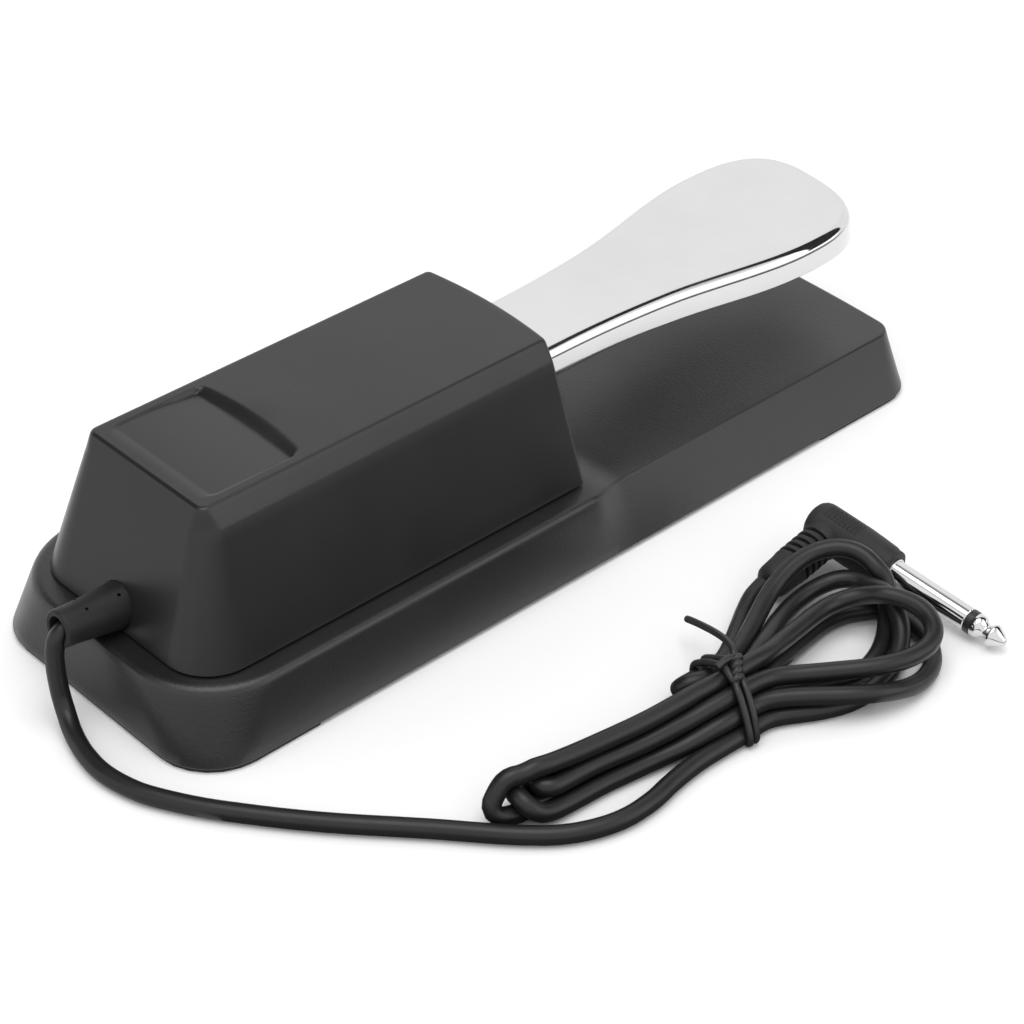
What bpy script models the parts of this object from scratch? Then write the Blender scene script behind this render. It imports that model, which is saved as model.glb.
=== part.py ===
"""Sustain pedal: a chrome lever in a two-part plastic case, with its cord and right-angle plug.

Frame: X across the pedal, the toe end of the lever at -Y, the cord end at +Y, +Z up.
The origin lies on the floor under the middle of the pedal.
"""
import math

import bmesh
import bpy
from mathutils import Matrix, Vector

MM = 0.001
GAP = 0.3 * MM                   # clearance between two neighbouring pieces

# Base
BASE_HALF = 43.75 * MM
BASE_REAR = 126.2 * MM
BASE_FRONT = -123.8 * MM
PAD_TOP = 0.7 * MM
BASE_BOTTOM = PAD_TOP + GAP
PLATE_TOP = BASE_BOTTOM + 1.5 * MM
DECK_TOP = 19.6 * MM
DECK_UNDER = 17.1 * MM
FRONT_DECK_TOP = 17.2 * MM       # the deck steps down ahead of the cover
FRONT_DECK_UNDER = 14.7 * MM
STEP_START = -2.0 * MM           # where the step down begins and ends
STEP_END = -16.5 * MM
FRONT_LEAN = 4.9 * MM            # how much more the front side walls lean in
WALL = 2.6 * MM
FLOOR_TOP = PLATE_TOP + GAP      # where pieces stand on the bottom plate

# Upper cover
COVER_FOOT = DECK_TOP + GAP
COVER_SHOULDER = 53.6 * MM
COVER_TOP = 58.8 * MM
COVER_CEILING = 54.6 * MM
COVER_FOOT_REAR = 117.7 * MM
COVER_TOP_REAR = 105.2 * MM
COVER_FRONT_FOOT = -4.7 * MM
COVER_FRONT_TOP = -2.1 * MM
COVER_BOW = 1.7 * MM
THUMB_FRONT = 76.7 * MM          # the shallow recess in the top
THUMB_REAR = 100.2 * MM
THUMB_DEPTH = 2.8 * MM

# Lever and its pivot
PIVOT = Vector((0.0, 72.0 * MM, 43.7 * MM))
LEVER_TIP = -124.9 * MM
LEVER_TAIL = 84.0 * MM
LEVER_TOP = 47.6 * MM
LEVER_UNDER = 39.9 * MM
LEVER_TRAVEL = math.radians(5.0)
PADDLE_HALF = 24.9 * MM
PADDLE_ROUND = -98.0 * MM        # where the paddle is widest and its round end begins
NECK_END = -51.0 * MM            # where the neck starts to widen into the paddle
NECK_START = -13.0 * MM          # ahead of this the neck widens gently
NECK_HALF = 14.7 * MM
NECK_GAIN = 1.9 * MM             # how much wider the neck is where the paddle begins
BAR_HALF = 11.5 * MM             # the bar inside the case
SHAFT_RADIUS = 2.5 * MM
CHEEK_INNER = 15.0 * MM
CHEEK_OUTER = 17.0 * MM

# Spring, stops and switch under the lever
SPRING_Y = 28.0 * MM
STOP_Y = 8.0 * MM
SWITCH_Y = 50.0 * MM
BOARD_TOP = 26.2 * MM

# Cord and plug
CORD_RADIUS = 2.35 * MM
CORD_Z = 26.1 * MM               # height of the cord where it leaves the case
LEAD_SPACING = 6.0 * MM          # between the points of the lead's centreline
RELIEF_MOUTH = 133.2 * MM
PLUG_TIP = Vector((-135.7, -50.4, 3.3)) * MM
PLUG_AXIS = Vector((0.9925, 0.058, 0.108)).normalized()      # from the tip to the boot
LEG_AXIS = Vector((0.0, 0.988, -0.146))                      # from the boot to the cord
PLUG_RADIUS = 3.175 * MM
LEG_STATION = 55.0 * MM
LEG_END = 25.0 * MM

LEAD_ROUTE = [
    (0.0, 128.0, 26.1), (0.0, 131.0, 25.7), (0.0, 133.2, 24.0), (0.0, 134.3, 20.6),
    (-0.1, 134.6, 16.4), (-0.4, 134.6, 12.0), (-1.3, 134.7, 8.0), (-3.6, 135.3, 4.9),
    (-7.2, 136.6, 3.1), (-12.0, 138.1, 2.4), (-18.0, 139.5, 2.4), (-24.5, 140.0, 2.4),
    (-31.5, 139.0, 2.4), (-38.4, 136.7, 2.4), (-49.1, 130.7, 2.4), (-58.7, 123.8, 2.4),
    (-67.9, 116.6, 2.4), (-76.6, 109.1, 2.4), (-84.7, 101.6, 2.4), (-91.7, 95.2, 2.4),
    (-98.5, 89.3, 2.4), (-105.3, 83.1, 2.4), (-111.4, 76.2, 2.4), (-115.4, 68.6, 2.4),
    (-117.3, 61.0, 2.4), (-117.2, 52.6, 2.4), (-115.7, 44.5, 2.4), (-114.8, 37.5, 2.4),
    (-114.7, 31.5, 2.4), (-115.0, 26.4, 2.4),
]
TAIL_ROUTE = [
    (-81.2, -21.6, 5.4), (-82.0, -17.0, 4.5), (-84.2, -11.8, 3.2), (-87.6, -5.8, 2.5),
    (-91.2, 0.2, 2.4), (-93.4, 4.4, 2.4),
]
HANK_BOTTOM = 0.2 * MM
HANK_TOP = 13.4 * MM
TIE_Y = 16.0 * MM


# ---------------------------------------------------------------- scene and materials

def clear_scene():
    for obj in list(bpy.data.objects):
        bpy.data.objects.remove(obj)


def material(name, colour, roughness, metallic=0.0):
    mat = bpy.data.materials.new(name)
    mat.use_nodes = True
    shader = mat.node_tree.nodes["Principled BSDF"]
    shader.inputs["Base Color"].default_value = (*colour, 1.0)
    shader.inputs["Roughness"].default_value = roughness
    shader.inputs["Metallic"].default_value = metallic
    mat.diffuse_color = (*colour, 1.0)
    return mat


def black_plastic():
    return material("black_plastic", (0.028, 0.028, 0.030), 0.42)


def grained_plastic():
    return material("grained_plastic", (0.024, 0.024, 0.026), 0.58)


def black_rubber():
    return material("black_rubber", (0.020, 0.020, 0.021), 0.75)


def chrome():
    return material("chrome", (0.80, 0.81, 0.83), 0.08, 1.0)


def zinc_steel():
    return material("zinc_steel", (0.55, 0.56, 0.58), 0.35, 1.0)


def nylon():
    return material("nylon", (0.75, 0.74, 0.68), 0.45)


def board_green():
    return material("board_green", (0.03, 0.16, 0.07), 0.50)


def felt():
    return material("felt", (0.12, 0.12, 0.13), 0.95)


def cord_vinyl():
    return material("cord_vinyl", (0.022, 0.022, 0.024), 0.38)


# ---------------------------------------------------------------- mesh building blocks

def finish(name, bm, mat, origin=Vector((0, 0, 0)), parent=None, smooth_angle=30):
    """Turn a bmesh given in its parent's space into an object whose origin is at origin."""
    bmesh.ops.recalc_face_normals(bm, faces=bm.faces[:])
    bmesh.ops.translate(bm, verts=bm.verts[:], vec=-origin)
    mesh = bpy.data.meshes.new(name)
    bm.to_mesh(mesh)
    bm.free()
    mesh.shade_smooth()
    mesh.set_sharp_from_angle(angle=math.radians(smooth_angle))
    mesh.materials.append(mat)
    obj = bpy.data.objects.new(name, mesh)
    bpy.context.scene.collection.objects.link(obj)
    obj.location = origin
    obj.parent = parent
    return obj


def empty(name, location=(0, 0, 0), rotation=None):
    obj = bpy.data.objects.new(name, None)
    bpy.context.scene.collection.objects.link(obj)
    obj.location = location
    if rotation is not None:
        obj.rotation_euler = rotation.to_euler()
    return obj


def arc(centre_x, centre_y, radius, start, end, steps=6):
    """Points of a circular arc in plan, angles in degrees."""
    points = []
    for i in range(steps + 1):
        angle = math.radians(start + (end - start) * i / steps)
        points.append((centre_x + radius * math.cos(angle), centre_y + radius * math.sin(angle)))
    return points


def rounded_outline(half, front, rear, front_radius, rear_radius, stations=(), bow=0.0):
    """A rectangle in plan with round corners, extra points on its sides, and a bowed front."""
    points = arc(half - front_radius, front + front_radius, front_radius, -90, 0)
    points += [(half, y) for y in stations]
    points += arc(half - rear_radius, rear - rear_radius, rear_radius, 0, 90)
    points += arc(-half + rear_radius, rear - rear_radius, rear_radius, 90, 180)
    points += [(-half, y) for y in reversed(stations)]
    points += arc(-half + front_radius, front + front_radius, front_radius, 180, 270)
    if bow:
        for i in range(-3, 4):
            x = i / 4 * (half - front_radius)
            points.append((x, front))
        points = [(x, y - bow * (1 - (x / half) ** 2)) if y < front + 2 * front_radius else (x, y)
                  for x, y in points]
    return points


def at_height(outline, z):
    return [(x, y, z) for x, y in outline]


def bridge(bm, low, high):
    """Quads between two closed loops with the same number of vertices."""
    count = len(low)
    for i in range(count):
        j = (i + 1) % count
        bm.faces.new((low[i], low[j], high[j], high[i]))


def skin(bm, rings):
    loops = [[bm.verts.new(point) for point in ring] for ring in rings]
    for low, high in zip(loops, loops[1:]):
        bridge(bm, low, high)
    return loops


def solid(rings):
    """A closed solid skinned over a stack of outlines."""
    bm = bmesh.new()
    loops = skin(bm, rings)
    bm.faces.new(loops[0])
    bm.faces.new(loops[-1])
    return bm


def shell(outer_rings, inner_rings):
    """A hollow body, open where the first outer and the first inner outline face each other."""
    bm = bmesh.new()
    outer = skin(bm, outer_rings)
    inner = skin(bm, inner_rings)
    bridge(bm, outer[0], inner[0])
    bm.faces.new(outer[-1])
    bm.faces.new(inner[-1])
    return bm


def turned(profile, segments, hollow=False):
    """A body of revolution about Z from (radius, height) points; hollow closes the profile."""
    bm = bmesh.new()
    rings = []
    for radius, height in profile:
        rings.append([(radius * math.cos(2 * math.pi * k / segments),
                       radius * math.sin(2 * math.pi * k / segments), height)
                      for k in range(segments)])
    loops = skin(bm, rings)
    if hollow:
        bridge(bm, loops[-1], loops[0])
    else:
        bm.faces.new(loops[0])
        bm.faces.new(loops[-1])
    return bm


def moved(bm, location, turn=Matrix.Identity(3)):
    """Turn a bmesh about the origin, then move it to location."""
    bmesh.ops.transform(bm, matrix=Matrix.Translation(location) @ turn.to_4x4(), verts=bm.verts[:])
    return bm


ALONG_X = Matrix.Rotation(math.radians(90), 3, "Y")
ALONG_Y = Matrix.Rotation(math.radians(-90), 3, "X")


def box(low, high):
    bm = bmesh.new()
    size = Vector(high) - Vector(low)
    centre = (Vector(high) + Vector(low)) / 2
    bmesh.ops.create_cube(bm, size=1.0, matrix=Matrix.Translation(centre) @ Matrix.Diagonal((*size, 1.0)))
    return bm


def prism(polygon, start, end):
    """A polygon in the XZ plane, extruded along Y from start to end."""
    return solid([[(x, start, z) for x, z in polygon], [(x, end, z) for x, z in polygon]])


def prism_across(polygon, half):
    """A prism of a (y, z) polygon from -half to half in X."""
    return solid([[(x, y, z) for y, z in polygon] for x in (-half, half)])


def rods(places, radius, start, end, turn=Matrix.Identity(3), segments=16):
    """Separate cylinders in one mesh, each from start to end along the turned Z axis."""
    bm = bmesh.new()
    for place in places:
        rod = moved(turned([(radius, start), (radius, end)], segments), Vector(place), turn)
        mesh = bpy.data.meshes.new("rod")
        rod.to_mesh(mesh)
        rod.free()
        bm.from_mesh(mesh)
        bpy.data.meshes.remove(mesh)
    return bm


def sweep(path, radius, sides):
    """A round tube along a path, its section carried along without twist."""
    bm = bmesh.new()
    rings = []
    tangent = (path[1] - path[0]).normalized()
    side = tangent.orthogonal().normalized()
    for i, point in enumerate(path):
        ahead = path[min(i + 1, len(path) - 1)]
        behind = path[max(i - 1, 0)]
        tangent = (ahead - behind).normalized()
        side = (side - tangent * side.dot(tangent)).normalized()
        other = tangent.cross(side)
        rings.append([point + radius * (math.cos(2 * math.pi * k / sides) * side
                                        + math.sin(2 * math.pi * k / sides) * other)
                      for k in range(sides)])
    loops = skin(bm, rings)
    bm.faces.new(loops[0])
    bm.faces.new(loops[-1])
    return bm


def smooth_path(route, spacing):
    """Evenly spaced points on a smooth curve through the route's points, given in mm."""
    knots = [Vector(point) * MM for point in route]
    knots = [2 * knots[0] - knots[1]] + knots + [2 * knots[-1] - knots[-2]]
    dense = []
    for before, start, end, after in zip(knots, knots[1:], knots[2:], knots[3:]):
        for step in range(12):
            t = step / 12
            dense.append(0.5 * (2 * start + (end - before) * t
                                + (2 * before - 5 * start + 4 * end - after) * t * t
                                + (3 * start - before - 3 * end + after) * t ** 3))
    dense.append(knots[-2])
    lengths = [0.0]
    for a, b in zip(dense, dense[1:]):
        lengths.append(lengths[-1] + (b - a).length)
    count = max(2, round(lengths[-1] / spacing))
    path = []
    place = 0
    for i in range(count + 1):
        want = lengths[-1] * i / count
        while place < len(lengths) - 2 and lengths[place + 1] < want:
            place += 1
        share = (want - lengths[place]) / (lengths[place + 1] - lengths[place])
        path.append(dense[place].lerp(dense[place + 1], min(1.0, share)))
    return path


def tube(name, route, radius, mat, parent, spacing, resolution):
    """A cord or wire: a round curve with filled ends through the route's points."""
    curve = bpy.data.curves.new(name, "CURVE")
    curve.dimensions = "3D"
    curve.bevel_depth = radius
    curve.bevel_resolution = resolution
    curve.use_fill_caps = True
    path = smooth_path(route, spacing)
    spline = curve.splines.new("POLY")
    spline.points.add(len(path) - 1)
    for point, place in zip(spline.points, path):
        point.co = (*place, 1.0)
    curve.materials.append(mat)
    obj = bpy.data.objects.new(name, curve)
    bpy.context.scene.collection.objects.link(obj)
    obj.parent = parent
    return obj


def combine(obj, bm, operation, name):
    """Cut a hidden helper body from an object, or join it on, with a Boolean modifier."""
    helper = finish(name, bm, obj.data.materials[0], parent=obj.parent)
    helper.hide_render = True
    helper.display_type = "WIRE"
    boolean = obj.modifiers.new(name, "BOOLEAN")
    boolean.operation = operation
    boolean.solver = "EXACT"
    boolean.object = helper
    return obj


def screw(name, head, direction, length, mat, parent, head_radius=2.8 * MM, head_height=1.8 * MM,
          shank_radius=1.3 * MM):
    """A pan-head screw whose head's underside is at head and whose shank runs along direction."""
    profile = [(head_radius * 0.7, -head_height), (head_radius, -head_height * 0.55),
               (head_radius, 0.0), (shank_radius, 0.0), (shank_radius, length)]
    turn = Vector((0, 0, 1)).rotation_difference(Vector(direction)).to_matrix()
    return finish(name, moved(turned(profile, 12), Vector(head), turn), mat, origin=Vector(head),
                  parent=parent)


# ---------------------------------------------------------------- base

PLATE_SCREWS = [(x * MM, y * MM, 0.0) for y in (-76, 80) for x in (-33, 33)]
COVER_SCREWS = [(x * MM, y * MM, 0.0) for y in (9, 96) for x in (-20, 20)]
SIDE_STATIONS = [y * MM for y in (-17, -14, -11, -8, -5, -2)]


def step(value, start, end):
    """Smooth step from 0 at start to 1 at end."""
    t = min(1.0, max(0.0, (value - start) / (end - start)))
    return t * t * (3 - 2 * t)


def base_ring(z, inset, rear_inset, front_inset, radii, lean=0.0):
    """The base's outline at one height; ahead of the cover its sides lean in more."""
    outline = rounded_outline(BASE_HALF - inset, BASE_FRONT + front_inset, BASE_REAR - rear_inset,
                              radii[0], radii[1], SIDE_STATIONS)
    return [(x - math.copysign(lean * step(y, STEP_START, STEP_END), x), y, z) for x, y in outline]


def step_cutter():
    """Everything above the lower deck ahead of the cover, with the soft step's curve behind."""
    curve = []
    for i in range(9):
        y = STEP_START + (STEP_END - STEP_START) * i / 8
        drop = (DECK_TOP + 0.02 * MM - FRONT_DECK_TOP) * step(y, STEP_START, STEP_END)
        curve.append((y, DECK_TOP + 0.02 * MM - drop))
    ahead = BASE_FRONT - 5 * MM
    above = DECK_TOP + 5 * MM
    return prism_across(curve + [(ahead, FRONT_DECK_TOP), (ahead, above), (STEP_START, above)],
                        BASE_HALF + 5 * MM)


def base_housing(mat, parent):
    outer = [
        base_ring(BASE_BOTTOM, 0.0, 0.0, 0.0, (11 * MM, 16.5 * MM)),
        base_ring(DECK_TOP - 1.0 * MM, 3.4 * MM, 2.4 * MM, 4.6 * MM, (5.5 * MM, 19.0 * MM), FRONT_LEAN),
        base_ring(DECK_TOP - 0.3 * MM, 3.9 * MM, 2.9 * MM, 5.1 * MM, (5.3 * MM, 19.2 * MM), FRONT_LEAN),
        base_ring(DECK_TOP, 4.7 * MM, 3.7 * MM, 5.9 * MM, (5.0 * MM, 19.0 * MM), FRONT_LEAN),
    ]
    inner = [
        base_ring(BASE_BOTTOM, WALL, WALL, WALL, (8.5 * MM, 14.0 * MM)),
        base_ring(DECK_UNDER, 3.3 * MM + WALL, 2.3 * MM + WALL, 4.5 * MM + WALL, (3.5 * MM, 16.0 * MM),
                  0.92 * FRONT_LEAN),
    ]
    base = finish("base_housing", shell(outer, inner), mat, parent=parent)
    front_deck = rounded_outline(35.6 * MM, BASE_FRONT + 5.2 * MM, STEP_END, 4 * MM, 0.5 * MM)
    combine(base, solid([at_height(front_deck, FRONT_DECK_UNDER), at_height(front_deck, DECK_UNDER + 1 * MM)]),
            "UNION", "front_deck_filler")
    bosses = rods(PLATE_SCREWS, 3.5 * MM, FLOOR_TOP, DECK_TOP - 1.2 * MM)
    combine(base, bosses, "UNION", "base_bosses")
    combine(base, step_cutter(), "DIFFERENCE", "deck_step")
    opening = rounded_outline(26 * MM, 16 * MM, 88 * MM, 4 * MM, 4 * MM)
    combine(base, solid([at_height(opening, DECK_UNDER - 2 * MM), at_height(opening, DECK_TOP + 2 * MM)]),
            "DIFFERENCE", "deck_opening")
    combine(base, rods(PLATE_SCREWS, 1.6 * MM, 0.0, 14 * MM), "DIFFERENCE", "plate_screw_holes")
    combine(base, rods(COVER_SCREWS, 1.6 * MM, DECK_UNDER - 1 * MM, DECK_TOP + 1 * MM), "DIFFERENCE",
            "cover_screw_holes")
    clamp_holes = [(x * MM, 100 * MM, 0.0) for x in (-6.6, 6.6)]
    combine(base, rods(clamp_holes, 1.5 * MM, DECK_UNDER - 1 * MM, DECK_TOP + 1 * MM), "DIFFERENCE",
            "clamp_screw_holes")
    return base


def bottom_plate(mat, parent):
    inset = WALL + 4 * GAP
    rings = [base_ring(z, inset, inset, inset, (8.0 * MM, 13.5 * MM)) for z in (BASE_BOTTOM, PLATE_TOP)]
    plate = finish("bottom_plate", solid(rings), mat, parent=parent)
    combine(plate, rods(PLATE_SCREWS, 1.6 * MM, 0.0, 5 * MM), "DIFFERENCE", "plate_holes")
    bracket_holes = [(0.0, y * MM, 0.0) for y in (66, 78)]
    combine(plate, rods(bracket_holes, 1.6 * MM, 0.0, 5 * MM), "DIFFERENCE", "bracket_holes")
    return plate


def rubber_pads(mat, parent):
    """A wide rubber pad under each end, following the base's outline."""
    inset = 0.6 * MM
    half = BASE_HALF - inset
    small = 2 * MM
    front = rounded_outline(half, BASE_FRONT + inset, -84 * MM, 10.4 * MM, small)
    rear = rounded_outline(half, 89 * MM, BASE_REAR - inset, small, 15.9 * MM)
    for name, outline in (("front_rubber_pad", front), ("rear_rubber_pad", rear)):
        finish(name, solid([at_height(outline, 0.0), at_height(outline, PAD_TOP)]), mat, parent=parent)


# ---------------------------------------------------------------- upper cover

def cover_ring(z, half, inset, rear_radius):
    """The cover's outline at one height: its end walls lean, its front is bowed."""
    share = (z - COVER_FOOT) / (COVER_TOP - COVER_FOOT)
    rear = COVER_FOOT_REAR + (COVER_TOP_REAR - COVER_FOOT_REAR) * share - inset
    front = COVER_FRONT_FOOT + (COVER_FRONT_TOP - COVER_FRONT_FOOT) * share + inset
    return at_height(rounded_outline(half, front, rear, 1.5 * MM, rear_radius, bow=COVER_BOW), z)


def thumb_recess():
    """A wedge whose floor starts level with the top at the rear and is deepest in front."""
    half = 19 * MM
    above = COVER_TOP + 2 * MM
    section = [(THUMB_REAR, COVER_TOP - 0.3 * MM), (THUMB_REAR, above), (THUMB_FRONT, above),
               (THUMB_FRONT, COVER_TOP - THUMB_DEPTH)]
    return prism_across(section, half)


def upper_cover(mat, parent):
    outer = [
        cover_ring(COVER_FOOT, 34.4 * MM, 0.0, 13 * MM),
        cover_ring(COVER_SHOULDER, 24.6 * MM, 0.0, 5.2 * MM),
        cover_ring(COVER_TOP, 22.0 * MM, 0.0, 3.2 * MM),
    ]
    inner = [
        cover_ring(COVER_FOOT, 34.4 * MM - WALL, WALL, 10.4 * MM),
        cover_ring(52.4 * MM, 22.4 * MM, WALL, 3.4 * MM),
        cover_ring(COVER_CEILING, 20.9 * MM, WALL, 2.6 * MM),
    ]
    cover = finish("upper_cover", shell(outer, inner), mat, parent=parent)
    bosses = rods(COVER_SCREWS, 3.5 * MM, COVER_FOOT, COVER_CEILING + 0.9 * MM)
    combine(cover, bosses, "UNION", "cover_bosses")
    combine(cover, rods(COVER_SCREWS, 1.6 * MM, COVER_FOOT - 2 * MM, 34 * MM), "DIFFERENCE", "boss_holes")
    combine(cover, thumb_recess(), "DIFFERENCE", "thumb_recess")
    slot = box((-15.5 * MM, -12 * MM, 31.5 * MM), (15.5 * MM, 1.5 * MM, 48.9 * MM))
    combine(cover, slot, "DIFFERENCE", "lever_slot")
    arch = arc(0.0, CORD_Z, 6.2 * MM, 0, 180, 10) + [(-6.2 * MM, 17 * MM), (6.2 * MM, 17 * MM)]
    combine(cover, prism(arch, 108 * MM, 122 * MM), "DIFFERENCE", "cord_arch")
    return cover


# ---------------------------------------------------------------- lever and pivot

def lever_half(y):
    """Half the lever's width: the bar in the case, the neck, then a smooth flare to the paddle."""
    if y > 8 * MM:
        return BAR_HALF
    neck = NECK_START - NECK_END
    if y > NECK_END:
        return NECK_HALF + NECK_GAIN * (max(0.0, NECK_START - y) / neck) ** 2
    run = NECK_END - PADDLE_ROUND
    t = (NECK_END - y) / run
    start = (1 + 2 * t) * (1 - t) ** 2
    slope = t * (1 - t) ** 2 * run * 2 * NECK_GAIN / neck
    return start * (NECK_HALF + NECK_GAIN) + slope + (1 - start) * PADDLE_HALF


def lever_outline(inset, tail):
    """The lever in plan, drawn in by inset: two flaring sides and a blunt round toe."""
    heights = [tail, 8.2 * MM, 7.8 * MM, -12 * MM, -32 * MM]
    heights += [NECK_END + (PADDLE_ROUND - NECK_END) * i / 6 for i in range(7)]
    right = [(lever_half(y) - inset, y) for y in heights]
    toe = []
    reach = PADDLE_ROUND - LEVER_TIP - inset
    bluntness = 2 / 2.8
    for i in range(1, 12):
        angle = math.pi * i / 12
        across = math.copysign(abs(math.cos(angle)) ** bluntness, math.cos(angle))
        toe.append(((PADDLE_HALF - inset) * across, PADDLE_ROUND - reach * math.sin(angle) ** bluntness))
    left = [(-x, y) for x, y in reversed(right)]
    return right + toe + left


def pedal_lever(mat, parent):
    rings = []
    for inset, z in ((0.5, LEVER_UNDER), (0.0, LEVER_UNDER + 0.6 * MM), (0.0, LEVER_TOP - 2.0 * MM),
                     (0.5, LEVER_TOP - 0.7 * MM), (1.7, LEVER_TOP)):
        rings.append(at_height(lever_outline(inset * MM, LEVER_TAIL - inset * MM), z))
    lever = finish("pedal_lever", solid(rings), mat, origin=PIVOT, parent=parent)
    pocket = lever_outline(2.8 * MM, -3.0 * MM)
    pocket = [point for point in pocket if point[1] < -2 * MM]
    combine(lever, solid([at_height(pocket, LEVER_UNDER - 2 * MM), at_height(pocket, LEVER_TOP - 2.8 * MM)]),
            "DIFFERENCE", "lever_pocket")
    bore = rods([(0.0, PIVOT.y, PIVOT.z)], SHAFT_RADIUS + GAP, -20 * MM, 20 * MM, ALONG_X, 24)
    combine(lever, bore, "DIFFERENCE", "lever_bore")
    return lever


def pivot_bracket(mat, parent):
    """A folded steel strap: a floor on the plate and two cheeks that carry the shaft."""
    top = 49 * MM
    floor = FLOOR_TOP + 2 * MM
    section = [(-CHEEK_OUTER, FLOOR_TOP), (CHEEK_OUTER, FLOOR_TOP), (CHEEK_OUTER, top), (CHEEK_INNER, top),
               (CHEEK_INNER, floor), (-CHEEK_INNER, floor), (-CHEEK_INNER, top), (-CHEEK_OUTER, top)]
    bracket = finish("pivot_bracket", prism(section, 62 * MM, 82 * MM), mat, parent=parent)
    shaft_hole = rods([(0.0, PIVOT.y, PIVOT.z)], 4.0 * MM, -20 * MM, 20 * MM, ALONG_X, 20)
    combine(bracket, shaft_hole, "DIFFERENCE", "shaft_hole")
    screw_holes = [(0.0, y * MM, 0.0) for y in (66, 78)]
    combine(bracket, rods(screw_holes, 1.6 * MM, 0.0, 8 * MM), "DIFFERENCE", "bracket_screw_holes")
    for name, y in (("bracket_screw_front", 66 * MM), ("bracket_screw_rear", 78 * MM)):
        screw(name, (0.0, y, floor + GAP), (0, 0, -1), 3.7 * MM, mat, parent)
    return bracket


def pivot_pieces(shaft_mat, bush_mat, parent):
    shaft = turned([(SHAFT_RADIUS - 0.4 * MM, -20.4 * MM), (SHAFT_RADIUS, -20 * MM),
                    (SHAFT_RADIUS, 20 * MM), (SHAFT_RADIUS - 0.4 * MM, 20.4 * MM)], 20)
    finish("pivot_shaft", moved(shaft, PIVOT, ALONG_X), shaft_mat, origin=PIVOT, parent=parent)
    bore = SHAFT_RADIUS + GAP
    bush_profile = [(bore, BAR_HALF + GAP), (5.2 * MM, BAR_HALF + GAP), (5.2 * MM, CHEEK_INNER - GAP),
                    (3.7 * MM, CHEEK_INNER - GAP), (3.7 * MM, CHEEK_OUTER + GAP), (bore, CHEEK_OUTER + GAP)]
    clip_start = CHEEK_OUTER + 2 * GAP
    clip_profile = [(bore, clip_start), (4.6 * MM, clip_start), (4.6 * MM, clip_start + 0.9 * MM),
                    (bore, clip_start + 0.9 * MM)]
    for side, turn in (("right", ALONG_X), ("left", Matrix.Rotation(math.radians(-90), 3, "Y"))):
        bush = moved(turned(bush_profile, 20, hollow=True), PIVOT, turn)
        finish("pivot_bush_" + side, bush, bush_mat, origin=PIVOT, parent=parent)
        clip = moved(turned(clip_profile, 20, hollow=True), PIVOT, turn)
        finish("shaft_clip_" + side, clip, shaft_mat, origin=PIVOT, parent=parent)


# ---------------------------------------------------------------- spring, stops and switch

def return_spring(mat, parent):
    """A compression coil between the seat on the plate and the underside of the lever."""
    turns = 7.5
    wire = 0.9 * MM
    coil = 7.0 * MM
    bottom = FLOOR_TOP + 2.0 * MM + wire
    top = LEVER_UNDER - 0.7 * MM - wire
    steps = round(turns * 10)
    path = []
    for i in range(steps + 1):
        angle = 2 * math.pi * turns * i / steps
        path.append(Vector((coil * math.cos(angle), SPRING_Y + coil * math.sin(angle),
                            bottom + (top - bottom) * i / steps)))
    return finish("return_spring", sweep(path, wire, 6), mat, origin=Vector((0, SPRING_Y, bottom)),
                  parent=parent, smooth_angle=70)


def spring_seat(mat, parent):
    seat = turned([(10 * MM, 0.0), (10 * MM, 1.6 * MM), (5.2 * MM, 1.6 * MM), (4.4 * MM, 7 * MM)], 20)
    place = Vector((0.0, SPRING_Y, FLOOR_TOP))
    return finish("spring_seat", moved(seat, place), mat, origin=place, parent=parent)


def stop_pads(felt_mat, rubber_mat, parent):
    upper = box((-9 * MM, 4 * MM, LEVER_TOP + GAP), (9 * MM, 12 * MM, COVER_CEILING - GAP))
    finish("upper_stop_pad", upper, felt_mat, parent=parent)
    drop = (PIVOT.y - STOP_Y + 6 * MM) * math.tan(LEVER_TRAVEL)
    height = LEVER_UNDER - drop - GAP - COVER_FOOT
    bumper = turned([(6 * MM, 0.0), (6 * MM, height - 1.5 * MM), (4.5 * MM, height)], 20)
    place = Vector((0.0, STOP_Y, COVER_FOOT))
    finish("lower_stop_pad", moved(bumper, place), rubber_mat, origin=place, parent=parent)


def circuit_board(board_mat, post_mat, screw_mat, parent):
    under = BOARD_TOP - 1.6 * MM
    board = finish("circuit_board", box((-14 * MM, 41 * MM, under), (14 * MM, 59 * MM, BOARD_TOP)),
                   board_mat, parent=parent)
    corners = {"left": (-11.0 * MM, 55.5 * MM), "right": (11.0 * MM, 44.5 * MM)}
    places = [(x, y, 0.0) for x, y in corners.values()]
    combine(board, rods(places, 1.5 * MM, under - 1 * MM, BOARD_TOP + 1 * MM), "DIFFERENCE", "board_holes")
    for side, (x, y) in corners.items():
        height = under - GAP - FLOOR_TOP
        post = turned([(1.5 * MM, height - 9 * MM), (1.5 * MM, height), (3 * MM, height), (3.4 * MM, 0.0),
                       (1.5 * MM, 0.0)], 16, hollow=True)
        place = Vector((x, y, FLOOR_TOP))
        finish("board_post_" + side, moved(post, place), post_mat, origin=place, parent=parent)
        screw("board_screw_" + side, (x, y, BOARD_TOP + GAP), (0, 0, -1), 8 * MM, screw_mat, parent,
              head_radius=2.4 * MM, head_height=1.4 * MM, shank_radius=1.1 * MM)
    return board


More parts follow.
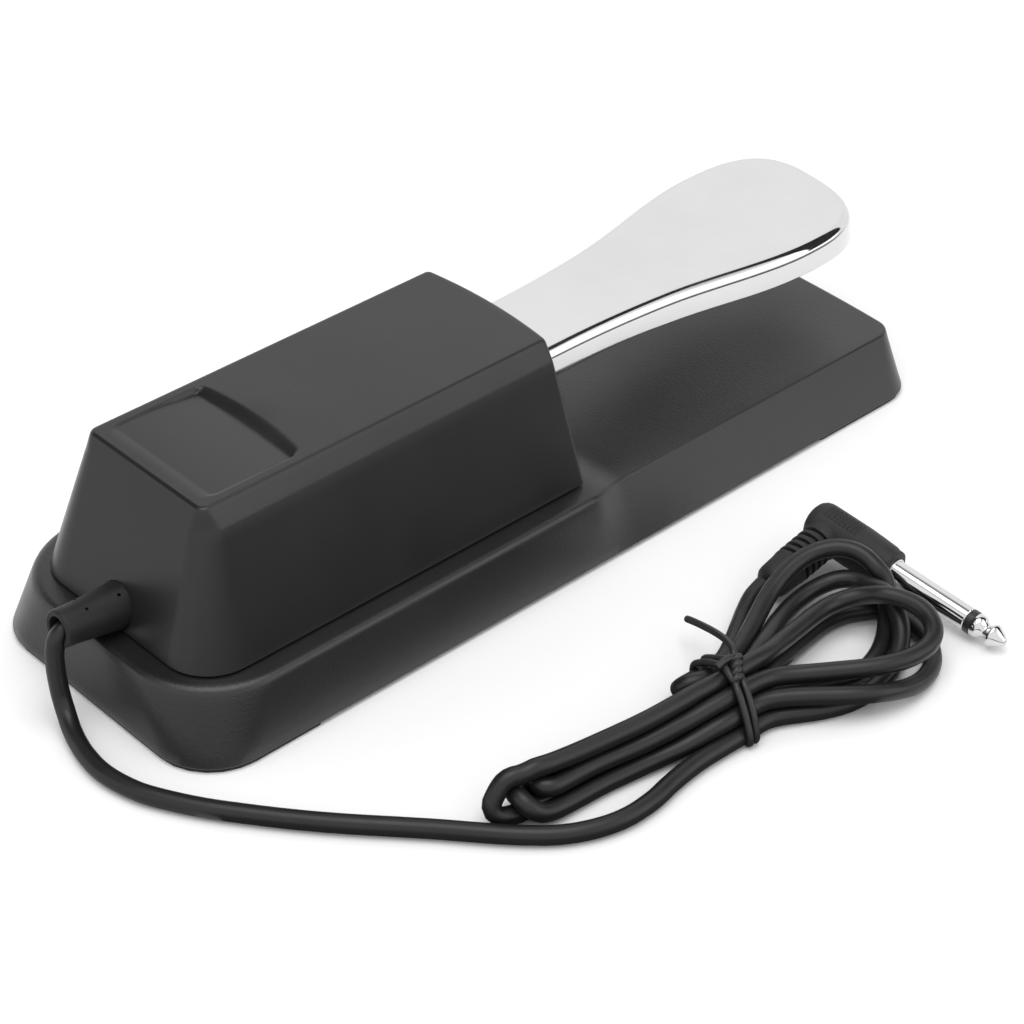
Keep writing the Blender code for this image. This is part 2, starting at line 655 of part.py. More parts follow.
def switch(body_mat, plunger_mat, parent, plunger_parent):
    """A push switch under the lever and the plunger that the lever presses."""
    bottom = BOARD_TOP + GAP
    top = 36.5 * MM
    body = finish("switch_body", box((-8 * MM, 46 * MM, bottom), (8 * MM, 54 * MM, top)), body_mat,
                  parent=parent)
    well = rods([(0.0, SWITCH_Y, 0.0)], 2.2 * MM, 32.8 * MM, top + 1 * MM)
    combine(body, well, "DIFFERENCE", "switch_well")
    reach = LEVER_UNDER - GAP
    plunger = turned([(1.8 * MM, 35.2 * MM), (1.8 * MM, reach - 0.6 * MM), (1.1 * MM, reach)], 16)
    place = Vector((0.0, SWITCH_Y, 0.0))
    return finish("switch_plunger", moved(plunger, place), plunger_mat,
                  origin=Vector((0.0, SWITCH_Y, reach)), parent=plunger_parent)


# ---------------------------------------------------------------- cord inside the case

def inner_cord(cord_mat, clamp_mat, screw_mat, parent):
    """The end of the cord inside the case, its clamp, and the two wires to the switch board."""
    stub = turned([(CORD_RADIUS, 91 * MM), (CORD_RADIUS, 108 * MM)], 16)
    finish("inner_cord", moved(stub, Vector((0, 0, CORD_Z)), ALONG_Y), cord_mat, parent=parent)
    clamp = finish("cord_clamp", box((-10 * MM, 97 * MM, COVER_FOOT), (10 * MM, 103 * MM, 31 * MM)),
                   clamp_mat, parent=parent)
    bore = rods([(0.0, 0.0, CORD_Z)], CORD_RADIUS + GAP, 90 * MM, 110 * MM, ALONG_Y)
    combine(clamp, bore, "DIFFERENCE", "clamp_bore")
    places = {"left": -6.6 * MM, "right": 6.6 * MM}
    holes = [(x, 100 * MM, 0.0) for x in places.values()]
    combine(clamp, rods(holes, 1.5 * MM, 18 * MM, 33 * MM), "DIFFERENCE", "clamp_holes")
    for side, x in places.items():
        screw("clamp_screw_" + side, (x, 100 * MM, 31 * MM + GAP), (0, 0, -1), 14 * MM, screw_mat, parent,
              head_radius=2.4 * MM, shank_radius=1.15 * MM)
    for name, side in (("signal_wire", 1), ("ground_wire", -1)):
        route = [(1.2 * side, 90.4, 26.1), (2.6 * side, 84.0, 24.6), (3.6 * side, 76.0, 22.4),
                 (4.4 * side, 68.0, 22.6), (5.0 * side, 62.5, 24.6), (5.2 * side, 59.5, 25.4)]
        tube(name, route, 0.6 * MM, cord_mat, parent, 3 * MM, 1)


# ---------------------------------------------------------------- cord, hank and plug

def strain_relief(mat, parent):
    """The moulded sleeve in the arch of the cover, hollowed where the cord bends down out of it."""
    profile = [(5.6 * MM, 108.3 * MM), (5.9 * MM, 116 * MM), (4.7 * MM, RELIEF_MOUTH - 0.5 * MM),
               (4.3 * MM, RELIEF_MOUTH)]
    relief = finish("strain_relief", moved(turned(profile, 24), Vector((0, 0, CORD_Z)), ALONG_Y), mat,
                    origin=Vector((0, RELIEF_MOUTH, CORD_Z)), parent=parent)
    path = smooth_path(LEAD_ROUTE, LEAD_SPACING)[:4]
    back = (path[0] - path[1]).normalized() * GAP
    combine(relief, sweep([path[0] + back] + path[1:], CORD_RADIUS + 0.5 * MM, 16), "DIFFERENCE",
            "relief_mouth")
    return relief


def hank_outline():
    """The tied hank in plan: a slim bundle, a waist at the tie, and a wide lobe of open loops."""
    points = arc(-99.9, 74.0, 6.9, 180, 0, 10)
    points += [(-94.0, 55), (-96.4, 38), (-96.8, 26), (-93.6, 20), (-92.5, 15), (-91.0, 7.2), (-96.5, 3.4)]
    points += [(-93.4, -5.0), (-89.4, -14.0), (-87.4, -22.0)]
    points += arc(-96.2, -31.5, 9.0, 0, -90)
    points += arc(-115.6, -22.5, 17.6, -90, -180, 8)
    points += [(-132.2, -10), (-126, 0), (-120.6, 8), (-118.4, 15), (-117.8, 26), (-112.0, 26), (-110.3, 33)]
    return [(x * MM, y * MM) for x, y in points]


def cord(mat, tie_mat, parent):
    tube("cord_lead", LEAD_ROUTE, CORD_RADIUS, mat, parent, LEAD_SPACING, 3)
    tube("cord_tail", TAIL_ROUTE, CORD_RADIUS, mat, parent, 4.0 * CORD_RADIUS, 3)
    outline = hank_outline()
    finish("cord_hank", solid([at_height(outline, HANK_BOTTOM), at_height(outline, HANK_TOP)]), mat,
           parent=parent)
    left = -119.3 * MM
    right = -92.0 * MM
    band = 1.6 * MM
    foot = 0.3 * MM
    top = HANK_TOP + GAP
    section = [(left - band, foot), (left, foot), (left, top), (right, top), (right, foot),
               (right + band, foot), (right + band, top + band), (left - band, top + band)]
    finish("hank_tie", prism(section, TIE_Y - band, TIE_Y + band), tie_mat, parent=parent)


def plug(boot_mat, metal_mat, ring_mat, parent):
    """A right-angle jack plug in its own frame: X from the tip to the boot, Y along the cord's leg."""
    tip = turned([(0.5 * MM, 0.0), (1.3 * MM, 0.6 * MM), (PLUG_RADIUS - 0.1 * MM, 4.4 * MM),
                  (PLUG_RADIUS - 0.1 * MM, 5.2 * MM), (1.9 * MM, 7.2 * MM), (1.9 * MM, 8.2 * MM),
                  (PLUG_RADIUS - 0.1 * MM, 9.4 * MM), (PLUG_RADIUS - 0.1 * MM, 11.2 * MM)], 20)
    finish("plug_tip", moved(tip, Vector(), ALONG_X), metal_mat, parent=parent)
    ring = turned([(PLUG_RADIUS, 11.5 * MM), (PLUG_RADIUS, 13.6 * MM)], 20)
    finish("plug_insulator", moved(ring, Vector(), ALONG_X), ring_mat, parent=parent)
    sleeve = turned([(PLUG_RADIUS, 13.9 * MM), (PLUG_RADIUS, 33.0 * MM)], 20)
    finish("plug_sleeve", moved(sleeve, Vector(), ALONG_X), metal_mat, parent=parent)
    barrel = turned([(4.9 * MM, 33.3 * MM), (5.0 * MM, 36.0 * MM), (5.8 * MM, 36.3 * MM),
                     (6.0 * MM, 58.5 * MM), (5.2 * MM, 60.4 * MM), (3.4 * MM, 61.4 * MM)], 20)
    boot = finish("plug_boot", moved(barrel, Vector(), ALONG_X), boot_mat, parent=parent)
    leg = turned([(5.0 * MM, 0.0), (5.0 * MM, 12 * MM), (4.2 * MM, LEG_END - 0.8 * MM),
                  (3.6 * MM, LEG_END)], 16)
    combine(boot, moved(leg, Vector((LEG_STATION, 0, 0)), ALONG_Y), "UNION", "plug_leg")
    return boot


def plug_frame():
    across = (LEG_AXIS - PLUG_AXIS * LEG_AXIS.dot(PLUG_AXIS)).normalized()
    turn = Matrix((PLUG_AXIS, across, PLUG_AXIS.cross(across))).transposed()
    return empty("plug_frame", PLUG_TIP, turn)


# ---------------------------------------------------------------- assembly

def main():
    clear_scene()
    plastic = black_plastic()
    rubber = black_rubber()
    bright = chrome()
    steel = zinc_steel()
    white = nylon()
    vinyl = cord_vinyl()

    case = empty("case")
    base_housing(grained_plastic(), case)
    bottom_plate(steel, case)
    rubber_pads(rubber, case)
    upper_cover(plastic, case)
    for i, (x, y, _) in enumerate(PLATE_SCREWS, start=1):
        screw(f"plate_screw_{i}", (x, y, BASE_BOTTOM - GAP), (0, 0, 1), 12 * MM, steel, case,
              head_height=0.6 * MM)
    for i, (x, y, _) in enumerate(COVER_SCREWS, start=1):
        screw(f"cover_screw_{i}", (x, y, DECK_UNDER - GAP), (0, 0, 1), 15 * MM, steel, case)

    pedal_lever(bright, None)
    pivot_bracket(steel, case)
    pivot_pieces(steel, white, case)
    return_spring(steel, case)
    spring_seat(white, case)
    stop_pads(felt(), rubber, case)
    circuit_board(board_green(), white, steel, case)
    switch(plastic, white, case, None)
    inner_cord(vinyl, plastic, steel, case)

    strain_relief(rubber, case)
    cord(vinyl, rubber, case)
    plug(rubber, bright, plastic, plug_frame())
    bpy.context.view_layer.update()


main()
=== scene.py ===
"""Looks for the sustain pedal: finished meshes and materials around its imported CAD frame."""
import math

import bpy
import numpy as np
from mathutils import Matrix, Vector


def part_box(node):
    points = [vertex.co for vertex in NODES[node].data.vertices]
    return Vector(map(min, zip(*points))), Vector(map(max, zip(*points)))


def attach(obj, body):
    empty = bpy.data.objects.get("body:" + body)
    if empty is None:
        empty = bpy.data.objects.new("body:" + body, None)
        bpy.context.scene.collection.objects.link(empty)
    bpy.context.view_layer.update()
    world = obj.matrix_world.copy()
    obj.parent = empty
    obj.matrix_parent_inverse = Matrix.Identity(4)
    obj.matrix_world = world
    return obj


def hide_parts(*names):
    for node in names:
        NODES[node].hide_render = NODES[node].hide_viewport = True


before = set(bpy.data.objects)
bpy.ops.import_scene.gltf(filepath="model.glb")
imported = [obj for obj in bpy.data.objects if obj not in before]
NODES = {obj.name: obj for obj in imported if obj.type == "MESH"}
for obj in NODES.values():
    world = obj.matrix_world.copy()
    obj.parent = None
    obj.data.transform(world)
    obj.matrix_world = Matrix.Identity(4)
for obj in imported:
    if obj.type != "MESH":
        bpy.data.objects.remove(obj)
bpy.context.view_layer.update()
MM = 0.001


# -------------------- camera, floor and light

CAMERA_TARGET = Vector((-31.9, 18.3, 21.0)) * MM
CAMERA_DISTANCE = 719.5 * MM
CAMERA_TURN = math.radians(47.4)         # between the way the camera looks and -Y, towards +X
CAMERA_DOWN = math.radians(36.29)
CAMERA_ROLL = math.radians(0.13)
CAMERA_LENS = 101.46
SENSOR_WIDTH = 36.0

FLOOR_SIZE = 6.0
FLOOR_TONE = (0.90, 0.90, 0.90)
CARD_LIFT = 0.5 * MM                     # how far the reflection cards float above their corners' height

# The surround is even up to the first of these heights and dims towards the second.
DIMMING_STARTS = math.radians(52)
DIMMING_ENDS = math.radians(66)
SURROUND_LEVEL = 1.05
OVERHEAD_LEVEL = 0.28

# name, place, what it points at, size, power
SOFTBOXES = [
    ("far_softbox", (0.75, -0.80, 0.85), (0.0, 0.0, 0.03), (1.0, 0.7), 0.12),
    ("top_softbox", (-0.15, 0.15, 1.5), (0.0, 0.0, 0.0), (1.2, 1.2), 13.0),
    ("near_softbox", (-1.0, -0.75, 0.58), (0.0, 0.0, 0.05), (1.3, 0.95), 3.0),
]
GLOSS_ONLY = "near_softbox"              # shows in reflections but adds no diffuse light

# name, tone, corners
REFLECTION_CARDS = [
    ("near_side_card", 0.13, [(-0.055, 0.40, 0.0), (-0.055, -0.01, 0.0), (-0.15, -0.01, 0.0),
                              (-0.15, -0.75, 0.0), (-0.9, -0.75, 0.0), (-0.9, 0.40, 0.0)]),
    ("rear_floor_card", 0.6, [(-0.05, 0.127, 0.0), (0.9, 0.127, 0.0), (0.9, 0.9, 0.0), (-0.05, 0.9, 0.0)]),
    ("right_card", 0.02, [(0.30, -0.20, 0.85), (0.85, -0.30, 0.75), (0.85, 0.65, 0.30), (0.30, 0.75, 0.45)]),
    ("overhead_card", 0.03, [(-0.55, -0.50, 0.17), (-0.20, -0.60, 0.17),
                             (0.13, -0.36, 0.66), (-0.15, -0.36, 0.66)]),
]


def linked(name, data):
    """A new object in the scene for this mesh, curve, light or camera."""
    obj = bpy.data.objects.new(name, data)
    bpy.context.scene.collection.objects.link(obj)
    return obj


def aim(obj, place, target, roll=0.0):
    """Stands obj at place with its -Z axis towards target."""
    back = (Vector(place) - Vector(target)).normalized()
    right = Vector((0, 0, 1)).cross(back).normalized()
    up = back.cross(right)
    turned_right = right * math.cos(roll) + up * math.sin(roll)
    turned_up = up * math.cos(roll) - right * math.sin(roll)
    matrix = Matrix((turned_right, turned_up, back)).transposed().to_4x4()
    matrix.translation = Vector(place)
    obj.matrix_world = matrix


def add_camera():
    data = bpy.data.cameras.new("camera")
    data.lens = CAMERA_LENS
    data.sensor_width = SENSOR_WIDTH
    data.clip_start = 0.02
    data.clip_end = 20.0
    camera = linked("camera", data)
    level = math.cos(CAMERA_DOWN)
    back = Vector((-math.sin(CAMERA_TURN) * level, math.cos(CAMERA_TURN) * level,
                   math.sin(CAMERA_DOWN)))
    aim(camera, CAMERA_TARGET + back * CAMERA_DISTANCE, CAMERA_TARGET, CAMERA_ROLL)
    bpy.context.scene.camera = camera


def softbox(name, place, target, size, power):
    data = bpy.data.lights.new(name, "AREA")
    data.shape = "RECTANGLE"
    data.size = size[0]
    data.size_y = size[1]
    data.energy = power
    light = linked(name, data)
    aim(light, place, target)
    light.visible_diffuse = name != GLOSS_ONLY


def sheet(name, corners, tree):
    """A flat part of the set with this shading."""
    mesh = bpy.data.meshes.new(name)
    mesh.from_pydata(corners, [], [tuple(range(len(corners)))])
    mesh.materials.append(tree.material)
    obj = linked(name, mesh)
    return obj


def reflection_card(name, tone, corners):
    """A dark card that only polished and moulded surfaces see, to shape their reflections."""
    tree = Shading(name, (tone, tone, tone), 0.9, specular=0.0)
    weave = tree.noise(scale=40.0)
    tree.colour(weave, (0.9 * tone,) * 3, (1.1 * tone,) * 3)
    card = sheet(name, [(x, y, z + CARD_LIFT) for x, y, z in corners], tree)
    card.visible_camera = False
    card.visible_diffuse = False
    card.visible_shadow = False
    card.visible_transmission = False


def add_surround():
    """An even white surround that dims towards straight overhead."""
    scene = bpy.context.scene
    scene.view_settings.view_transform = "Standard"
    world = bpy.data.worlds.new("studio")
    scene.world = world
    world.use_nodes = True
    sky = world.node_tree.nodes
    background = sky["Background"]
    background.inputs["Color"].default_value = (1.0, 1.0, 1.0, 1.0)
    direction = sky.new("ShaderNodeTexCoord")
    parts = sky.new("ShaderNodeSeparateXYZ")
    dimmed = sky.new("ShaderNodeMapRange")
    for name, value in (("From Min", math.sin(DIMMING_STARTS)), ("From Max", math.sin(DIMMING_ENDS)),
                        ("To Min", SURROUND_LEVEL), ("To Max", OVERHEAD_LEVEL)):
        dimmed.inputs[name].default_value = value
    links = world.node_tree.links
    links.new(direction.outputs["Generated"], parts.inputs["Vector"])
    links.new(parts.outputs["Z"], dimmed.inputs["Value"])
    links.new(dimmed.outputs["Result"], background.inputs["Strength"])


def add_floor():
    tree = Shading("floor_paper", FLOOR_TONE, 0.7)
    mottle = tree.noise(scale=6.0, detail=3.0)
    tree.colour(mottle, FLOOR_TONE, (0.92, 0.92, 0.92))
    half = FLOOR_SIZE / 2
    sheet("floor", [(-half, -half, 0.0), (half, -half, 0.0), (half, half, 0.0), (-half, half, 0.0)], tree)


def studio():
    """A pale floor, an even surround, soft boxes over it and the cards that shape reflections."""
    add_surround()
    for box in SOFTBOXES:
        softbox(*box)
    add_floor()
    for card in REFLECTION_CARDS:
        reflection_card(*card)


# -------------------- procedural materials

class Shading:
    """A Principled material with helpers that add object-space noise, colour, gloss and relief."""

    def __init__(self, name, base, roughness, metallic=0.0, specular=0.5):
        self.material = bpy.data.materials.new(name)
        self.material.use_nodes = True
        self.material.diffuse_color = (*base, 1.0)
        self.nodes = self.material.node_tree.nodes
        self.links = self.material.node_tree.links
        self.shader = self.nodes["Principled BSDF"]
        for name, value in (("Base Color", (*base, 1.0)), ("Roughness", roughness),
                            ("Metallic", metallic), ("Specular IOR Level", specular)):
            self.shader.inputs[name].default_value = value
        self.coords = self.nodes.new("ShaderNodeTexCoord")
        self.normal = None

    def node(self, kind, **values):
        """A new node with these input values; an underscore stands for a space in a name."""
        node = self.nodes.new(kind)
        for name, value in values.items():
            node.inputs[name.replace("_", " ")].default_value = value
        return node

    def stretched(self, stretch):
        """Object coordinates, scaled by stretch."""
        mapping = self.node("ShaderNodeMapping", Scale=stretch)
        self.links.new(self.coords.outputs["Object"], mapping.inputs["Vector"])
        return mapping.outputs["Vector"]

    def noise(self, scale, detail=2.0, roughness=0.5, stretch=(1, 1, 1)):
        node = self.node("ShaderNodeTexNoise", Scale=scale, Detail=detail, Roughness=roughness)
        self.links.new(self.stretched(stretch), node.inputs["Vector"])
        return node.outputs["Fac"]

    def cell_edges(self, scale, stretch, randomness):
        """The distance to the nearest edge of a cell pattern."""
        node = self.node("ShaderNodeTexVoronoi", Scale=scale, Randomness=randomness)
        node.feature = "DISTANCE_TO_EDGE"
        self.links.new(self.stretched(stretch), node.inputs["Vector"])
        return node.outputs["Distance"]

    def ramp(self, value, low, high, start=0.0, end=1.0):
        node = self.node("ShaderNodeMapRange", From_Min=low, From_Max=high, To_Min=start, To_Max=end)
        self.links.new(value, node.inputs["Value"])
        return node.outputs["Result"]

    def colour(self, value, first, second):
        """Blends the base colour from first to second."""
        node = self.nodes.new("ShaderNodeMix")
        node.data_type = "RGBA"
        self.links.new(value, node.inputs["Factor"])
        node.inputs["A"].default_value = (*first, 1.0)
        node.inputs["B"].default_value = (*second, 1.0)
        self.links.new(node.outputs["Result"], self.shader.inputs["Base Color"])

    def gloss(self, value, smoothest, roughest, low=0.3, high=0.7):
        self.links.new(self.ramp(value, low, high, smoothest, roughest), self.shader.inputs["Roughness"])

    def relief(self, value, depth, strength=1.0):
        node = self.node("ShaderNodeBump", Distance=depth, Strength=strength)
        self.links.new(value, node.inputs["Height"])
        if self.normal is not None:
            self.links.new(self.normal, node.inputs["Normal"])
        self.normal = node.outputs["Normal"]
        self.links.new(self.normal, self.shader.inputs["Normal"])


def times(colour, share):
    return tuple(channel * share for channel in colour)


def moulded_plastic(name, base, roughness, grain_scale, grain_depth, specular):
    """Black ABS: a spark-eroded grain, with a little unevenness in colour and gloss."""
    tree = Shading(name, base, roughness, specular=specular)
    cloud = tree.noise(scale=18.0, detail=4.0)
    tree.colour(tree.ramp(cloud, 0.3, 0.7), base, times(base, 1.25))
    patches = tree.noise(scale=45.0, detail=3.0)
    tree.gloss(patches, roughness - 0.03, roughness + 0.04)
    tree.relief(tree.noise(scale=grain_scale, detail=3.0, roughness=0.65), grain_depth)
    tree.relief(tree.noise(scale=9.0, detail=1.0), 0.25 * MM, 0.25)
    return tree.material


def rubber(name, base=(0.016, 0.016, 0.017), roughness=0.62):
    """Matt moulded rubber with a little dust in its grain."""
    tree = Shading(name, base, roughness, specular=0.35)
    dust = tree.noise(scale=160.0, detail=5.0, roughness=0.7)
    tree.colour(tree.ramp(dust, 0.45, 0.75), base, times(base, 1.6))
    tree.gloss(dust, roughness - 0.05, roughness + 0.08)
    tree.relief(tree.noise(scale=1500.0, detail=2.0), 0.02 * MM, 0.5)
    return tree.material


def vinyl():
    """The cord's satin sheath, a little uneven along its length."""
    tree = Shading("cord_sheath", (0.010, 0.010, 0.0105), 0.36, specular=0.4)
    cloud = tree.noise(scale=60.0, detail=3.0)
    tree.colour(cloud, (0.008, 0.008, 0.0085), (0.012, 0.012, 0.0125))
    tree.gloss(tree.noise(scale=220.0, detail=3.0), 0.33, 0.41)
    tree.relief(tree.noise(scale=900.0, detail=2.0), 0.02 * MM, 0.4)
    return tree.material


def chrome(name="chrome_plate", waves=True):
    """Bright plating: faint haze and handling marks, and the gentle waviness of a pressed part."""
    tree = Shading(name, (0.68, 0.68, 0.685), 0.07, metallic=1.0)
    haze = tree.noise(scale=30.0, detail=5.0, roughness=0.6)
    tree.colour(tree.ramp(haze, 0.35, 0.7), (0.70, 0.70, 0.70), (0.66, 0.66, 0.665))
    marks = tree.noise(scale=140.0, detail=4.0, roughness=0.7, stretch=(1.0, 0.35, 1.0))
    tree.gloss(marks, 0.05, 0.13, 0.35, 0.75)
    if waves:
        tree.relief(tree.noise(scale=22.0, detail=1.0), 0.10 * MM, 0.5)
    tree.relief(tree.noise(scale=700.0, detail=2.0), 0.004 * MM, 0.5)
    return tree.material


def plated_steel(name, base, roughness, streak=(1.0, 14.0, 1.0)):
    """Zinc-plated steel: rolled streaks and a cloudy plating."""
    tree = Shading(name, base, roughness, metallic=1.0)
    cloud = tree.noise(scale=35.0, detail=5.0)
    tree.colour(tree.ramp(cloud, 0.3, 0.7), times(base, 0.8), base)
    lines = tree.noise(scale=120.0, detail=3.0, stretch=streak)
    tree.gloss(lines, roughness - 0.08, roughness + 0.10)
    tree.relief(lines, 0.01 * MM, 0.6)
    return tree.material


def nylon():
    """Off-white nylon that lets a little light in."""
    tree = Shading("white_nylon", (0.74, 0.73, 0.67), 0.42)
    tree.shader.inputs["Subsurface Weight"].default_value = 0.1
    tree.shader.inputs["Subsurface Radius"].default_value = (0.002, 0.002, 0.0015)
    cloud = tree.noise(scale=90.0, detail=3.0)
    tree.colour(cloud, (0.70, 0.69, 0.62), (0.78, 0.77, 0.72))
    tree.gloss(cloud, 0.36, 0.50)
    tree.relief(tree.noise(scale=800.0), 0.01 * MM, 0.5)
    return tree.material


def felt():
    """Grey felt: short matted fibres."""
    tree = Shading("grey_felt", (0.11, 0.11, 0.12), 0.95, specular=0.1)
    fibres = tree.noise(scale=900.0, detail=6.0, roughness=0.8, stretch=(1.0, 1.0, 3.0))
    tree.colour(fibres, (0.07, 0.07, 0.08), (0.19, 0.19, 0.20))
    tree.relief(fibres, 0.25 * MM)
    return tree.material


def circuit_laminate():
    """Green board with faint copper tracks under the varnish."""
    tree = Shading("circuit_laminate", (0.02, 0.15, 0.06), 0.35)
    tracks = tree.cell_edges(scale=260.0, stretch=(1.0, 0.4, 1.0), randomness=0.4)
    copper = tree.ramp(tracks, 0.05, 0.09)
    tree.colour(copper, (0.06, 0.27, 0.11), (0.02, 0.13, 0.05))
    tree.relief(tracks, 0.03 * MM, 0.5)
    return tree.material


def insulated_wire(name, base):
    """A thin coloured sheath, slightly uneven in tone and gloss."""
    tree = Shading(name, base, 0.4)
    cloud = tree.noise(scale=300.0, detail=2.0)
    tree.colour(cloud, base, times(base, 1.3))
    tree.gloss(cloud, 0.35, 0.45)
    return tree.material


# -------------------- mesh building blocks

SHARP_ANGLE = 35          # edges that turn by more degrees than this stay crisp
CURVE_STEPS = 16          # points between two knots of a smooth curve before it is evened out


def placed(name, data, mat, body, replaced):
    """An object that rides a body, takes a material slot and may replace CAD nodes."""
    data.materials.append(mat)
    obj = linked(name, data)
    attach(obj, body)
    if replaced:
        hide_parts(*replaced)
    return obj


def piece(name, points, faces, mat, body, replaced=(), angle=SHARP_ANGLE):
    mesh = bpy.data.meshes.new(name)
    mesh.from_pydata([tuple(point) for point in points], [], faces)
    mesh.validate()
    mesh.shade_smooth()
    mesh.set_sharp_from_angle(angle=math.radians(angle))
    return placed(name, mesh, mat, body, replaced)


class Builder:
    """Collects points and faces of one piece."""

    def __init__(self):
        self.points = []
        self.faces = []

    def ring(self, points):
        """Adds points and returns their numbers, as a loop."""
        start = len(self.points)
        self.points.extend(points)
        return list(range(start, start + len(points)))

    def bridge(self, low, high):
        count = len(low)
        for i in range(count):
            j = (i + 1) % count
            self.faces.append((low[i], low[j], high[j], high[i]))

    def skin(self, rings):
        """A wall through rings of equally many points; returns their loops."""
        loops = [self.ring(ring) for ring in rings]
        for low, high in zip(loops, loops[1:]):
            self.bridge(low, high)
        return loops

    def fill(self, loop, flip=False):
        self.faces.append(tuple(reversed(loop)) if flip else tuple(loop))

    def turned(self, profile, segments, matrix, bumps=None):
        """A closed body of revolution about the matrix's Z axis from (radius, height) points."""
        rings = []
        for radius, height in profile:
            ring = []
            for k in range(segments):
                angle = 2 * math.pi * k / segments
                r = radius if bumps is None else radius + bumps(angle, height)
                ring.append(matrix @ Vector((r * math.cos(angle), r * math.sin(angle), height)))
            rings.append(ring)
        loops = self.skin(rings)
        self.fill(loops[0], flip=True)
        self.fill(loops[-1])


def smooth_step(value, start, end):
    t = min(1.0, max(0.0, (value - start) / (end - start)))
    return t * t * (3 - 2 * t)


def spread(start, end, count):
    """count even steps from start to end, both ends included."""
    return [start + (end - start) * i / count for i in range(count + 1)]


def corner(centre_x, centre_y, radius, start, end, count):
    """Points of an arc between two angles in degrees."""
    points = []
    for angle in spread(math.radians(start), math.radians(end), count):
        points.append((centre_x + radius * math.cos(angle), centre_y + radius * math.sin(angle)))
    return points


def outline(half, front, rear, front_radius, rear_radius, stations, columns, turns=14):
    """A round-cornered rectangle, symmetric about X = 0, from the left end of its front edge.

    columns are shares from -1 to 1 where the front and rear edges get their points."""
    front_half = half - front_radius
    rear_half = half - rear_radius
    points = [(c * front_half, front) for c in columns[:-1]]
    points += corner(front_half, front + front_radius, front_radius, -90, 0, turns)
    points += [(half, y) for y in stations]
    points += corner(rear_half, rear - rear_radius, rear_radius, 0, 90, turns)
    points += [(-c * rear_half, rear) for c in columns[1:-1]]
    points += corner(-rear_half, rear - rear_radius, rear_radius, 90, 180, turns)
    points += [(-half, y) for y in reversed(stations)]
    points += corner(-front_half, front + front_radius, front_radius, 180, 270, turns)[:-1]
    return points


def cap(build, loop, columns, height):
    """Closes a loop made by outline() with a height field in rows across X."""
    across = len(columns) - 1
    count = len(loop)
    side = (count - 2 * across) // 2
    rows = [loop[:across + 1]]
    for k in range(1, side):
        right = loop[across + k]
        left = loop[(count - k) % count]
        x_right, y_right = build.points[right][:2]
        x_left, y_left = build.points[left][:2]
        middle = []
        for c in columns[1:-1]:
            x = x_left + (x_right - x_left) * (c + 1) / 2
            y = y_left + (y_right - y_left) * (c + 1) / 2
            middle.append((x, y, height(x, y)))
        rows.append([left] + build.ring(middle) + [right])
    rear_right = across + side
    rows.append([loop[rear_right + across - i] for i in range(across + 1)])
    for near, far in zip(rows, rows[1:]):
        for i in range(across):
            build.faces.append((near[i], near[i + 1], far[i + 1], far[i]))


def resample(points, spacing):
    """Evenly spaced points on a smooth curve through the given ones."""
    knots = np.array(points, float)
    knots = np.vstack([2 * knots[0] - knots[1], knots, 2 * knots[-1] - knots[-2]])
    dense = []
    for i in range(1, len(knots) - 2):
        before, start, end, after = knots[i - 1:i + 3]
        for t in np.arange(0, 1, 1 / CURVE_STEPS):
            dense.append(0.5 * (2 * start + (end - before) * t
                                + (2 * before - 5 * start + 4 * end - after) * t * t
                                + (3 * start - before - 3 * end + after) * t ** 3))
    dense = np.array(dense + [knots[-2]])
    along = np.concatenate([[0], np.cumsum(np.linalg.norm(np.diff(dense, axis=0), axis=1))])
    at = np.linspace(0, along[-1], max(2, round(along[-1] / spacing)) + 1)
    return np.stack([np.interp(at, along, dense[:, k]) for k in range(3)], axis=1)


def tube(name, points, radius, mat, replaced=(), sides=6):
    """A round tube as a curve of one open spline with filled ends."""
    curve = bpy.data.curves.new(name, "CURVE")
    curve.dimensions = "3D"
    curve.bevel_depth = radius
    curve.bevel_resolution = sides
    curve.use_fill_caps = True
    spline = curve.splines.new("POLY")
    spline.points.add(len(points) - 1)
    for target, point in zip(spline.points, points):
        target.co = (*point, 1.0)
    spline.use_smooth = True
    return placed(name, curve, mat, "case", replaced)


# -------------------- the cord's route, in mm

CORD_RADIUS = 2.35 * MM
BEND_AIM = 5.0 * MM             # settling eases the folds towards this radius; the tightest stay below it

# The cord lies from the strain relief along the base, runs through four loops and three folds and
# turns back once more to the plug's boot.
LEAD = [
    (0.0, 128.0, 26.1), (0.0, 131.0, 25.7), (0.0, 133.2, 24.0), (0.0, 134.3, 20.6),
    (-0.1, 134.6, 16.4), (-0.4, 134.6, 12.0), (-1.3, 134.7, 8.0), (-3.6, 135.3, 4.9),
    (-7.2, 136.6, 3.1), (-12.0, 138.1, 2.4), (-18.0, 139.5, 2.4), (-24.5, 140.0, 2.4),
    (-31.5, 139.0, 2.4), (-38.4, 136.7, 2.4), (-49.1, 130.7, 2.4), (-58.7, 123.8, 2.4),
    (-67.9, 116.6, 2.4), (-76.6, 109.1, 2.4), (-84.7, 101.6, 2.4), (-91.7, 95.2, 2.4),
    (-98.5, 89.3, 2.4), (-105.3, 83.1, 2.4), (-111.4, 76.2, 2.4), (-115.4, 68.6, 2.4),
    (-117.3, 61.0, 2.4), (-117.2, 52.6, 2.4), (-115.7, 44.5, 2.4), (-114.8, 37.5, 2.4),
    (-114.7, 31.5, 2.4), (-115.0, 26.4, 2.4), (-115.3, 20.5, 2.4),
]
